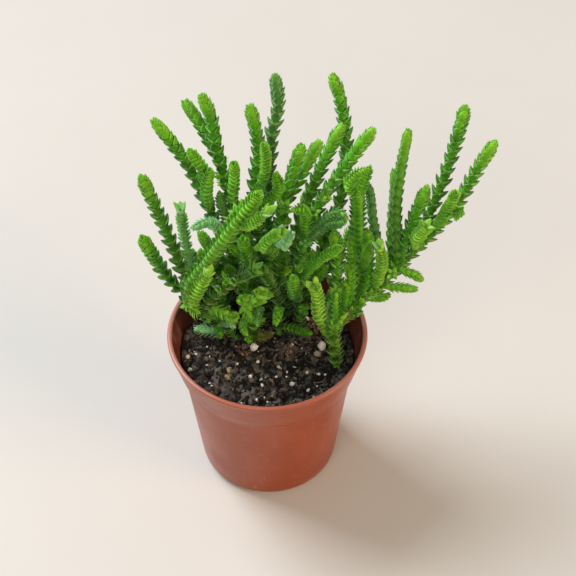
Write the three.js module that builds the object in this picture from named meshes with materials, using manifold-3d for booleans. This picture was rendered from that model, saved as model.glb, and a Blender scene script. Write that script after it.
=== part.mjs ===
// Watch chain crassula in a small plastic nursery pot: the pot, its soil and fifteen rooted leafy stems.
// Millimetres, +Z up. The origin is the centre of the pot's flat underside, which stands on z = 0.
// The front is -Y, and the crown leans out over the rim towards +X.
import * as THREE from "three";
import { mergeVertices } from "three/addons/utils/BufferGeometryUtils.js";
import Module from "manifold-3d";

const wasm = await Module();
wasm.setup();

// Points closer than this are one vertex
const SAME_POINT = 1e-4;

// Pot: outer sizes of a 5.5 cm nursery pot
const RIM_RADIUS = 27.5;
const POT_HEIGHT = 50;
const BASE_RADIUS = 19.5;
const BASE_ROUNDING = 2.5;
const COLLAR_HEIGHT = 11.5;
const COLLAR_FOOT_RADIUS = 24.6;
const COLLAR_STEP = 0.8;
const WALL = 1;
const LIP_WIDTH = 1.4;
const FLOOR = 1.2;
const POT_SIDES = 40;
const ROUNDING_STEPS = 3;
const DRAIN_HOLES = 6;
const DRAIN_RADIUS = 2;
const DRAIN_CIRCLE = 12.5;
const DRAIN_SIDES = 8;

// Soil: its level, the height and the wavenumber of its slow swell and of its crumbs, and its clearance to
// the wall and to the stems
const SOIL_LEVEL = 41.8;
const SWELL_HEIGHT = 0.2;
const SWELL_WAVES = 0.22;
const CRUMB_HEIGHT = 0.3;
const CRUMB_WAVES = 1.9;
const SOIL_RINGS = 6;
const SOIL_SIDES = 26;
const SOIL_GAP = 0.35;
const HOLE_RADIUS = 1.35;
const HOLE_SIDES = 6;

// Stems: where the bare foot ends in the soil, and where the leaves begin above it
const FOOT_Z = 35;
const CROWN_Z = 43.5;

// Leaf tiers. A mature chain's tiers are at about their real pitch. A young shoot's real pitch is 1.2 mm,
// finer than these solids can carry, so its tiers are larger than life.
const MATURE = { pitch: 2.75, axil: 0.9, tip: 1.8, bare: 0.62 };
const STOUT = { pitch: 2.75, axil: 1.15, tip: 2.2, bare: 0.62 };
const YOUNG = { pitch: 2.65, axil: 1.15, tip: 2, bare: 0.62 };
// Leaves stand in four ranks. A side shoot's first millimetre is bare, its last ones close to a blunt bud,
// and it is fullest just short of that.
const RANKS = 4;
const BARE_LENGTH = 1.2;
const TAPER_LENGTH = 2.5;
const TIP_SHARE = 0.5;
const CLUB = 0.15;
const CLUB_AT = 5;
const CLUB_LENGTH = 5;
const BUD_TIERS = 0.2;
const FRAME_STEP = 0.5;
const CURVE_TENSION = 0.5;

// A rooted stem starts upright in the soil at (x, y). A side shoot starts on shoot number `on` of the same
// stem, at the share `at` of its length. Both run smoothly through the points that follow.
const rooted = (x, y, ...points) => ({ leaf: MATURE, root: [x, y, CROWN_Z], points });
const side = (leaf, on, at, ...points) => ({ leaf, on, at, points });

const STEMS = {
  stem_left: [
    rooted(-9, 10, [-21, 11, 57], [-27, 13, 76], [-32.5, 15, 94]),
    side(MATURE, 0, 0.23, [-25, 9, 58.5], [-29, 8, 67.5], [-32.5, 5, 81.5]),
    side(YOUNG, 0, 0.3, [-21, 11, 66.5], [-22, 12, 75], [-22.5, 12, 85]),
    side(YOUNG, 0, 0.12, [-18, 8.5, 49.5], [-21.5, 8, 50]),
    side(YOUNG, 0, 0.18, [-17, 14, 58], [-19, 15, 64]),
  ],
  stem_front_left: [
    rooted(-9, 5, [-15, 4, 51], [-21, 3, 57], [-21, 4, 64], [-16, 3, 73], [-10, 1, 85], [-1, -1, 103]),
    side(YOUNG, 0, 0.15, [-11, 0, 54], [-8, -3, 56]),
    side(MATURE, 0, 0.2, [-16, 1, 61], [-10, -1, 70], [-2, -4, 79]),
    side(YOUNG, 0, 0.8, [-3, -3, 96], [1, -5, 102]),
    side(YOUNG, 0, 0.25, [-19.5, 1, 62], [-18, 0, 67.5], [-14, -1.5, 78.5]),
    side(YOUNG, 0, 0.04, [-15, 4, 45.3], [-21, 4.5, 45.5]),
  ],
  stem_low_front: [
    rooted(-4, 3, [-4, 3, 54], [-5, 1, 60], [-7, -3, 66]),
    side(YOUNG, 0, 0.45, [-2.5, 1, 57], [-3, -4, 56]),
    side(YOUNG, 0, 0.1, [-6, -1, 46.5]),
  ],
  stem_back_left: [
    rooted(-6, 14, [-9, 15, 62], [-14.5, 15.5, 79], [-20.5, 19, 94], [-29, 22, 107]),
    side(YOUNG, 0, 0.66, [-16, 14, 96], [-19.5, 12, 105.5]),
    side(YOUNG, 0, 0.58, [-15.5, 12.5, 90.5], [-14, 11, 100]),
    side(YOUNG, 0, 0.25, [-13.5, 13, 66], [-16, 12, 71]),
  ],
  stem_middle_left: [
    rooted(-3, 8, [-5, 10, 62], [-9.5, 15, 86], [-12.5, 20, 96], [-14, 24, 104.5], [-16.5, 26, 112]),
    side(MATURE, 0, 0.75, [-16.5, 25, 101], [-21.5, 29, 107.5]),
    side(YOUNG, 0, 0.58, [-8, 12, 96], [-8, 10, 103]),
    side(YOUNG, 0, 0.42, [-11.5, 11, 77], [-15, 8, 83.5], [-20, 5, 84]),
    side(MATURE, 0, 0.25, [-5.5, 6, 73], [-6, 3, 83]),
  ],
  stem_middle: [
    rooted(0, 12, [-1, 12, 62], [-3, 14, 88], [-2, 18, 100], [-4, 22, 112]),
    side(YOUNG, 0, 0.65, [-0.5, 12, 96], [0, 11, 103.5], [-0.5, 10, 109.5]),
    side(YOUNG, 0, 0.58, [3, 11, 92], [2.5, 10, 99.5]),
  ],
  stem_back: [
    rooted(1, 17, [0, 20, 68], [0.7, 27, 86], [1.4, 30.5, 94.5], [3, 34.5, 101], [2.2, 38, 109]),
    side(YOUNG, 0, 0.3, [4, 18.5, 75], [4.5, 20, 80.5]),
  ],
  stem_middle_right: [
    rooted(3, 6, [3, 8, 62], [4, 13, 84], [6.7, 17.5, 91.5], [9.3, 20, 100.5]),
    side(MATURE, 0, 0.68, [9.5, 24, 87], [14.5, 31, 92]),
    side(YOUNG, 0, 0.5, [-1, 2.5, 80], [1.5, 0, 86], [4, -3, 91]),
    side(YOUNG, 0, 0.55, [4.5, 3, 80.5], [6.5, -2, 90]),
    side(YOUNG, 0, 0.12, [3, 1.5, 56], [2, -2, 53.5]),
    side(MATURE, 0, 0.2, [1, 3, 66], [-1, 0, 75]),
    side(YOUNG, 0, 0.28, [0, 2, 63], [-3, -3, 69]),
    side(YOUNG, 0, 0.05, [8, 3.5, 46.5], [13, 1.5, 46.5]),
  ],
  stem_cross: [rooted(5, 12, [7, 13, 62], [8, 14, 74], [11, 16, 84], [15, 20, 94], [20, 26, 102])],
  stem_back_right: [
    rooted(10, 15, [15, 18, 62], [20, 23, 79], [21, 30, 93], [19.5, 35, 102], [17, 38, 109]),
    side(YOUNG, 0, 0.15, [19, 20, 56], [24, 27, 66]),
    side(YOUNG, 0, 0.3, [13, 20, 73], [12, 21, 79]),
  ],
  stem_middle_front: [
    rooted(9, 9, [9, 9, 62], [10, 9, 76], [14.5, 12, 88], [21, 17, 96], [28, 22, 104]),
    side(YOUNG, 0, 0.52, [18, 8, 87], [21.5, 5.5, 86]),
    side(YOUNG, 0, 0.45, [15, 8, 82], [21, 5, 87]),
    side(YOUNG, 0, 0.28, [14, 5, 73], [20, 3, 80]),
    side(YOUNG, 0, 0.1, [10, 4, 54], [9, 2, 57]),
    side(MATURE, 0, 0.16, [7.5, 4, 61], [7, 1.5, 70]),
    side(YOUNG, 0, 0.5, [10, 8, 87], [6, 6, 90]),
  ],
  stem_right: [
    rooted(
      19,
      -6,
      [18, -3, 52],
      [23, 3, 56],
      [30, 7, 60],
      [37, 12, 65],
      [46.5, 16, 75],
      [52, 19, 83],
      [56, 22, 90.5],
      [60, 24, 98],
    ),
    side(YOUNG, 0, 0.08, [16.5, -1, 50.5], [14, 0.5, 57], [13.5, 1, 64], [12, 1, 69]),
    side(STOUT, 0, 0.24, [26, 8, 62], [24.5, 9, 73], [24, 11, 84.5], [23.5, 12, 94]),
    side(YOUNG, 2, 0.8, [21, 10, 96.5], [23, 9, 101], [26.5, 9, 101]),
    side(YOUNG, 2, 0.7, [25, 17, 91], [28, 20, 92]),
    side(YOUNG, 2, 0.3, [27, 4, 80]),
    side(MATURE, 0, 0.38, [31, 12, 66], [28.5, 16, 76], [27.5, 19, 83], [25.5, 20, 88]),
    side(MATURE, 0, 0.45, [34.5, 16, 80], [35, 19, 91], [36.7, 22, 104]),
    side(MATURE, 0, 0.42, [34, 20, 70.5], [34.5, 24, 76.5], [34.5, 28, 85]),
    side(MATURE, 0, 0.52, [46, 22, 81], [49.5, 27, 92], [52, 30, 105]),
    side(MATURE, 0, 0.46, [38, 13, 75.5], [42, 15, 90]),
    side(YOUNG, 0, 0.64, [47, 13, 82], [49, 10, 93]),
    side(YOUNG, 0, 0.54, [40, 10, 78], [42, 7, 86]),
    side(YOUNG, 0, 0.7, [50.5, 13, 83], [48, 9, 84.5]),
    side(YOUNG, 0, 0.44, [39.5, 9, 63], [43, 9, 60]),
    side(YOUNG, 0, 0.36, [38.5, 5, 61.5], [41.5, 5, 61.5]),
    side(YOUNG, 0, 0.34, [30.5, 5, 72], [29.5, 4, 79]),
    side(MATURE, 0, 0.2, [19, 7, 60], [19, 9, 67], [18, 12, 77]),
    side(YOUNG, 0, 0.12, [16, 2, 57], [20, 4, 60]),
    side(YOUNG, 0, 0.3, [31.5, 5, 58], [33.5, 5, 60]),
    side(YOUNG, 0, 0.17, [22.5, 7, 62.5], [21.5, 8, 69.5]),
  ],
  stem_low_back_left: [rooted(-11, 16, [-14, 19, 56], [-19, 23, 66])],
  stem_low_back: [rooted(-4, 19, [-5, 24, 57], [-7, 31, 70])],
  stem_low_back_right: [rooted(6, 18, [9, 24, 58], [11, 32, 73])],
};

// The closed solid of a three.js geometry, with its shared vertices merged.
function solidOf(geometry) {
  const bare = new THREE.BufferGeometry();
  bare.setAttribute("position", geometry.getAttribute("position"));
  bare.setIndex(geometry.getIndex());
  const merged = mergeVertices(bare, SAME_POINT);
  const mesh = new wasm.Mesh({
    numProp: 3,
    vertProperties: merged.getAttribute("position").array,
    triVerts: new Uint32Array(merged.getIndex().array),
  });
  return new wasm.Manifold(mesh);
}

// A three.js geometry of a solid.
function geometryOf(solid) {
  const mesh = solid.getMesh();
  const geometry = new THREE.BufferGeometry();
  geometry.setAttribute("position", new THREE.BufferAttribute(mesh.vertProperties, 3));
  geometry.setIndex(new THREE.BufferAttribute(mesh.triVerts, 1));
  const flat = geometry.toNonIndexed();
  flat.computeVertexNormals();
  return flat;
}

// An upright prism between two heights, for drainage holes and for the holes that the stems stand in.
function uprightPrism(x, y, radius, low, high, sides) {
  const geometry = new THREE.CylinderGeometry(radius, radius, high - low, sides);
  geometry.rotateX(Math.PI / 2);
  geometry.translate(x, y, (low + high) / 2);
  return solidOf(geometry);
}

// Radius of the pot's outside at a height on the body or on the collar.
const COLLAR_FOOT_Z = POT_HEIGHT - COLLAR_HEIGHT;
const BODY_TOP_RADIUS = COLLAR_FOOT_RADIUS - COLLAR_STEP;
function bodyRadius(z) {
  return BASE_RADIUS + ((BODY_TOP_RADIUS - BASE_RADIUS) * z) / COLLAR_FOOT_Z;
}
function collarRadius(z) {
  return COLLAR_FOOT_RADIUS + ((RIM_RADIUS - COLLAR_FOOT_RADIUS) * (z - COLLAR_FOOT_Z)) / COLLAR_HEIGHT;
}

// The pot: one turned wall with its collar, lip and floor, and drainage holes round the solid middle of its
// base.
function pot() {
  const lip = LIP_WIDTH / 2;
  const outline = new THREE.Path();
  outline.moveTo(0, 0);
  outline.lineTo(BASE_RADIUS - BASE_ROUNDING, 0);
  outline.quadraticCurveTo(BASE_RADIUS, 0, bodyRadius(BASE_ROUNDING), BASE_ROUNDING);
  outline.lineTo(BODY_TOP_RADIUS, COLLAR_FOOT_Z - COLLAR_STEP / 2);
  outline.lineTo(COLLAR_FOOT_RADIUS, COLLAR_FOOT_Z);
  outline.lineTo(RIM_RADIUS, POT_HEIGHT - lip);
  outline.quadraticCurveTo(RIM_RADIUS, POT_HEIGHT, RIM_RADIUS - lip, POT_HEIGHT);
  outline.quadraticCurveTo(RIM_RADIUS - LIP_WIDTH, POT_HEIGHT, RIM_RADIUS - LIP_WIDTH, POT_HEIGHT - lip);
  outline.lineTo(collarRadius(COLLAR_FOOT_Z) - WALL, COLLAR_FOOT_Z);
  outline.lineTo(BODY_TOP_RADIUS - WALL, COLLAR_FOOT_Z - WALL);
  outline.lineTo(bodyRadius(FLOOR + WALL) - WALL, FLOOR + WALL);
  outline.lineTo(BASE_RADIUS - BASE_ROUNDING, FLOOR);
  outline.lineTo(0, FLOOR);
  const turned = new THREE.LatheGeometry(outline.getPoints(ROUNDING_STEPS), POT_SIDES);
  turned.rotateX(Math.PI / 2);
  let solid = solidOf(turned);
  for (let i = 0; i < DRAIN_HOLES; i += 1) {
    const turn = (2 * Math.PI * i) / DRAIN_HOLES;
    const x = DRAIN_CIRCLE * Math.cos(turn);
    const y = DRAIN_CIRCLE * Math.sin(turn);
    solid = solid.subtract(uprightPrism(x, y, DRAIN_RADIUS, -FLOOR, 2 * FLOOR, DRAIN_SIDES));
  }
  return geometryOf(solid);
}

// The soil's height at a point: a slow swell with coarse crumbs on it.
function soilHeight(x, y) {
  const swell = Math.sin(SWELL_WAVES * (x + y)) + Math.cos(SWELL_WAVES * (y - x));
  const crumbs = Math.sin(CRUMB_WAVES * (x + y)) * Math.cos(CRUMB_WAVES * (y - x / 2));
  return SOIL_LEVEL + SWELL_HEIGHT * swell + CRUMB_HEIGHT * crumbs;
}

// The soil: a tapered plug that keeps clear of the wall, with an uneven top and a plain hole for each stem.
function soil() {
  const low = FLOOR + SOIL_GAP;
  const lowRadius = BASE_RADIUS - BASE_ROUNDING - SOIL_GAP;
  const stepZ = COLLAR_FOOT_Z - WALL - SOIL_GAP;
  const stepRadius = bodyRadius(stepZ) - WALL - 2 * SOIL_GAP;
  const topRadius = collarRadius(SOIL_LEVEL) - WALL - 2 * SOIL_GAP;
  const outline = [
    new THREE.Vector2(0, low),
    new THREE.Vector2(lowRadius, low),
    new THREE.Vector2(bodyRadius(FLOOR + WALL) - WALL - SOIL_GAP, low + WALL),
    new THREE.Vector2(stepRadius, stepZ),
    new THREE.Vector2(topRadius, SOIL_LEVEL - CRUMB_HEIGHT),
  ];
  for (let ring = SOIL_RINGS - 1; ring >= 0; ring -= 1)
    outline.push(new THREE.Vector2((topRadius * ring) / SOIL_RINGS, SOIL_LEVEL));
  const turned = new THREE.LatheGeometry(outline, SOIL_SIDES);
  turned.rotateX(Math.PI / 2);
  const position = turned.getAttribute("position");
  for (let i = 0; i < position.count; i += 1)
    if (position.getZ(i) > SOIL_LEVEL - CRUMB_HEIGHT / 2)
      position.setZ(i, soilHeight(position.getX(i), position.getY(i)));
  let solid = solidOf(turned);
  const holeLow = FOOT_Z - SOIL_GAP;
  for (const [{ root }] of Object.values(STEMS)) {
    const [x, y] = root;
    solid = solid.subtract(uprightPrism(x, y, HOLE_RADIUS, holeLow, POT_HEIGHT, HOLE_SIDES));
  }
  return geometryOf(solid);
}

// The smooth line of each shoot of one stem, side shoots starting on the line that carries them.
function shootLines(shoots) {
  const lines = [];
  for (const { root, on, at, points } of shoots) {
    const start = root ? new THREE.Vector3(...root) : lines[on].getPointAt(at);
    const through = [start, ...points.map((point) => new THREE.Vector3(...point))];
    lines.push(new THREE.CatmullRomCurve3(through, false, "catmullrom", CURVE_TENSION));
  }
  return lines;
}

// One leafy shoot as a closed solid. Its scale leaves stand in four ranks, opposite pairs crossing at right
// angles, so neighbouring ranks are half a tier apart. Along each rank the surface runs out from an axil to a
// leaf tip and straight back in to the next axil, and between ranks it is a strip of triangles.
function shootSolid(line, { leaf, root }) {
  const length = line.getLength();
  const steps = Math.ceil(length / FRAME_STEP);
  const frames = line.computeFrenetFrames(steps, false);
  const positions = [];
  const faces = [];

  const vertex = (along, radius, rank) => {
    const share = Math.min(1, Math.max(0, along / length));
    const near = Math.round(share * steps);
    const turn = (2 * Math.PI * rank) / RANKS;
    const point = line.getPointAt(share);
    point.addScaledVector(frames.normals[near], radius * Math.cos(turn));
    point.addScaledVector(frames.binormals[near], radius * Math.sin(turn));
    positions.push(point.x, point.y, point.z);
    return positions.length / 3 - 1;
  };

  const first = root ? 0 : BARE_LENGTH;
  const tiers = Math.max(2, Math.round((length - first) / leaf.pitch));
  const pitch = (length - first) / (tiers + BUD_TIERS);
  // The share of the full radius along the shoot: club shaped towards the tip, then closing to the bud.
  const taper = (along) => {
    const left = length - along;
    const bud = TIP_SHARE + (1 - TIP_SHARE) * Math.min(1, left / TAPER_LENGTH);
    return bud * (1 + CLUB * Math.exp(-(((left - CLUB_AT) / CLUB_LENGTH) ** 2)));
  };

  const feet = [];
  const columns = [];
  for (let rank = 0; rank < RANKS; rank += 1) {
    const offset = rank % 2 ? 0.5 : 1;
    const column = [{ level: 0, index: vertex(first, root ? leaf.axil : leaf.bare, rank) }];
    for (let tier = 0; tier < tiers; tier += 1) {
      const along = first + (tier + offset) * pitch;
      column.push({ level: tier + offset, index: vertex(along, leaf.tip * taper(along), rank) });
      if (tier < tiers - 1)
        column.push({ level: tier + offset, index: vertex(along, leaf.axil * taper(along), rank) });
    }
    columns.push(column);
    const foot = vertex(0, root ? leaf.axil : leaf.bare, rank);
    if (root) positions[3 * foot + 2] += FOOT_Z - CROWN_Z;
    feet.push(foot);
  }

  const tip = vertex(length, 0, 0);
  for (let rank = 0; rank < RANKS; rank += 1) {
    const one = columns[rank];
    const two = columns[(rank + 1) % RANKS];
    let i = 0;
    let j = 0;
    while (i < one.length - 1 || j < two.length - 1) {
      const nextOne = i < one.length - 1 ? one[i + 1].level : Infinity;
      const nextTwo = j < two.length - 1 ? two[j + 1].level : Infinity;
      if (nextOne <= nextTwo) {
        faces.push(one[i].index, two[j].index, one[i + 1].index);
        i += 1;
      } else {
        faces.push(one[i].index, two[j].index, two[j + 1].index);
        j += 1;
      }
    }
    faces.push(one[i].index, two[j].index, tip);
    faces.push(feet[rank], two[0].index, one[0].index);
    faces.push(feet[rank], feet[(rank + 1) % RANKS], two[0].index);
  }
  faces.push(feet[0], feet[2], feet[1], feet[0], feet[3], feet[2]);

  const geometry = new THREE.BufferGeometry();
  geometry.setAttribute("position", new THREE.Float32BufferAttribute(positions, 3));
  geometry.setIndex(faces);
  return solidOf(geometry);
}

// A whole stem: its side shoots grown into the one that carries them. Where leaves of two shoots meet they
// can seal a tiny hollow, which is filled by keeping the outer surface alone.
function stem(shoots) {
  const lines = shootLines(shoots);
  let solid = shootSolid(lines[0], shoots[0]);
  for (let i = 1; i < shoots.length; i += 1) solid = solid.add(shootSolid(lines[i], shoots[i]));
  const surfaces = solid.decompose();
  surfaces.sort((one, two) => two.volume() - one.volume());
  return geometryOf(surfaces[0]);
}

const terracotta = new THREE.MeshStandardMaterial({ color: 0x9a4e35, roughness: 0.5, metalness: 0 });
const peat = new THREE.MeshStandardMaterial({ color: 0x1c1512, roughness: 0.95, metalness: 0 });
const leafGreen = new THREE.MeshStandardMaterial({ color: 0x3f8a26, roughness: 0.45, metalness: 0 });

function piece(name, geometry, material) {
  const mesh = new THREE.Mesh(geometry, material);
  mesh.name = name;
  return mesh;
}

const plant = new THREE.Group();
for (const [name, shoots] of Object.entries(STEMS)) plant.add(piece(name, stem(shoots), leafGreen));

const pottedCrassula = new THREE.Group();
pottedCrassula.add(piece("pot", pot(), terracotta), piece("soil", soil(), peat), plant);

export default pottedCrassula;
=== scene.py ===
"""Looks of a potted watch chain crassula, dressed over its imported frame.

The frame holds the pot, the soil and fifteen leafy stems as plain solids. Each of them is replaced here, in
its own place, by a finer surface: a turned plastic pot, crumbly potting soil with its grains and fibres, and
stems that carry every scale leaf. Sizes are in millimetres and angles in degrees until a mesh is made.
"""

import logging
import math
from dataclasses import dataclass, field, replace
from enum import Enum

import bpy
import numpy as np
from numpy.typing import NDArray
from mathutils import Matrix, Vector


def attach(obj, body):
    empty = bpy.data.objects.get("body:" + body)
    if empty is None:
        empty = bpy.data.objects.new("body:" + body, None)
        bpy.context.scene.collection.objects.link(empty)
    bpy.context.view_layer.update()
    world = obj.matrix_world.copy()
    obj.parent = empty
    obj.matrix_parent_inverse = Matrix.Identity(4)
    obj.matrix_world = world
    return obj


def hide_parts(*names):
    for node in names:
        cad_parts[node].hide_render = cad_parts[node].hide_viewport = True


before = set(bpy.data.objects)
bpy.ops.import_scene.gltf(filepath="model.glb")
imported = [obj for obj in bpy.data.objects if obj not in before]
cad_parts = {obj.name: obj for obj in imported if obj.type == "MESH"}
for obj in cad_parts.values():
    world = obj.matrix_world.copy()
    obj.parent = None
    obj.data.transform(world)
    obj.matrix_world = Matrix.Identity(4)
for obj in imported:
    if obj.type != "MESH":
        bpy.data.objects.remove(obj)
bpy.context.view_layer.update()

MM = 0.001
SEED = 11

Array = NDArray[np.float64]
IntArray = NDArray[np.int64]
Point = tuple[float, float, float]
Colour = tuple[float, float, float]

log = logging.getLogger("potted_crassula")


class Growth(Enum):
    """How the leaves of a shoot have grown."""

    MATURE = "a chain of spaced, keeled scales"
    STOUT = "a thick column of close, spread scales"
    SHORT = "a tight chain of small pointed scales"
    YOUNG = "a zip of thin leaves, close together"
    PLUMP = "a thick stack of thin leaves, close together"
    SLEEK = "a slim chain of scales that lie close"


class Ending(Enum):
    """What stands at the tip of a shoot."""

    BUD = "a closed bud"
    TUFT = "a star of spread leaves"
    OPEN = "two large leaves that open sideways"
    SPEAR = "two large leaves, shut against each other"


@dataclass(frozen=True)
class EndLeaves:
    """Sizes of the two large leaves at a shoot's tip, and how the next pair differs from them."""

    half_width: float
    foot_angle: float
    tip_angle: float
    length: float = 3.9
    thickness: float = 0.6
    shorter: float = 0.7
    more_foot_angle: float = 16.0
    more_tip_angle: float = 12.0
    lighter: float = 0.15
    bloom: float = 0.9


END_LEAVES = {Ending.OPEN: EndLeaves(1.4, 28.0, 10.0), Ending.SPEAR: EndLeaves(1.25, 16.0, 4.0)}


class Tone(Enum):
    """Colour of a shoot: shares of lime green, of pale bloom, of olive and of painted shade, a deep green
    that stands in for shadow.
    """

    GREEN = (0.0, 0.0, 0.0, 0.0)
    FRESH = (0.24, 0.0, 0.0, 0.0)
    SPRING = (0.55, 0.0, 0.0, 0.0)
    LIME = (1.0, 0.0, 0.0, 0.0)
    BLOOM = (0.0, 1.0, 0.0, 0.0)
    TEAL = (0.1, 0.45, 0.0, 0.0)
    # Dusky and deep tones carry painted shade in their fourth share.
    DUSKY = (0.0, 0.2, 0.0, 0.6)
    OLIVE = (0.15, 0.0, 1.0, 0.0)
    DEEP = (0.0, 0.0, 0.1, 1.0)


@dataclass(frozen=True)
class LeafHabit:
    """Sizes of the scale leaves of one kind of shoot.

    Leaves stand in pairs that cross at right angles. Near the growing point they are small, close and shut,
    and they reach the full sizes below it.
    """

    spacing: float
    bud_spacing: float
    settling: float
    length: float
    half_width: float
    thickness: float
    foot_angle: float
    tip_angle: float
    opening: float
    cup: float
    core: float
    club: float

    def sized(self, girth: float) -> "LeafHabit":
        """The same habit on a thicker or a thinner shoot."""
        names = ("spacing", "length", "half_width", "thickness", "core", "club")
        return replace(self, **{name: girth * getattr(self, name) for name in names})


HABITS = {
    Growth.MATURE: LeafHabit(1.65, 0.34, 9.5, 2.75, 1.5, 1.0, 52, 26, 5, 0.24, 1.08, 0.4),
    Growth.STOUT: LeafHabit(0.9, 0.32, 8, 2.8, 1.2, 0.6, 58, 36, 4.5, 0.24, 1.5, 0.4),
    Growth.SHORT: LeafHabit(1.0, 0.32, 5, 2.2, 1.15, 0.7, 52, 28, 3.5, 0.3, 1.0, 0.3),
    Growth.YOUNG: LeafHabit(0.68, 0.32, 4, 2.1, 0.95, 0.36, 58, 32, 2.5, 0.34, 0.85, 0.3),
    Growth.PLUMP: LeafHabit(0.72, 0.34, 4, 2.1, 1.2, 0.42, 60, 38, 2.5, 0.3, 1.1, 0.3),
    Growth.SLEEK: LeafHabit(1.35, 0.34, 9, 2.2, 1.25, 0.8, 40, 18, 5, 0.26, 1.25, 0.3),
}


@dataclass(frozen=True)
class Shoot:
    """One leafy shoot: where it starts, the points it runs through, and how it grows."""

    growth: Growth
    points: tuple[Point, ...]
    root: tuple[float, float] | None = None
    on: int = 0
    at: float = 0.0
    ending: Ending = Ending.BUD
    tone: Tone = Tone.GREEN
    dry: tuple[float, float] | None = None
    girth: float = 1.0

    @property
    def habit(self) -> LeafHabit:
        """Sizes of the shoot's leaves."""
        return HABITS[self.growth].sized(self.girth)


@dataclass(frozen=True)
class Sprouting:
    """Small buds to draw along one shoot: how many, between which shares of its length, and how long."""

    on: int
    count: int
    low: float
    high: float
    shortest: float
    longest: float


def rooted(x: float, y: float, *points: Point, **looks: object) -> Shoot:
    """A mature shoot that starts upright in the soil at (x, y)."""
    return Shoot(Growth.MATURE, points, root=(x, y), **looks)


def side(growth: Growth, on: int, at: float, *points: Point, **looks: object) -> Shoot:
    """A side shoot that starts on shoot number `on` of the same stem, at the share `at` of its length."""
    return Shoot(growth, points, on=on, at=at, **looks)


MATURE, STOUT, SHORT = Growth.MATURE, Growth.STOUT, Growth.SHORT
YOUNG, PLUMP, SLEEK = Growth.YOUNG, Growth.PLUMP, Growth.SLEEK
BUD, TUFT, OPEN, SPEAR = Ending.BUD, Ending.TUFT, Ending.OPEN, Ending.SPEAR
GREEN, FRESH, SPRING, LIME = Tone.GREEN, Tone.FRESH, Tone.SPRING, Tone.LIME
BLOOM, TEAL, DUSKY, OLIVE, DEEP = Tone.BLOOM, Tone.TEAL, Tone.DUSKY, Tone.OLIVE, Tone.DEEP
FRONT: Point = (0.0, -0.68, 0.73)
FOOT_Z = 38.0
CROWN_Z = 42.3

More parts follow.
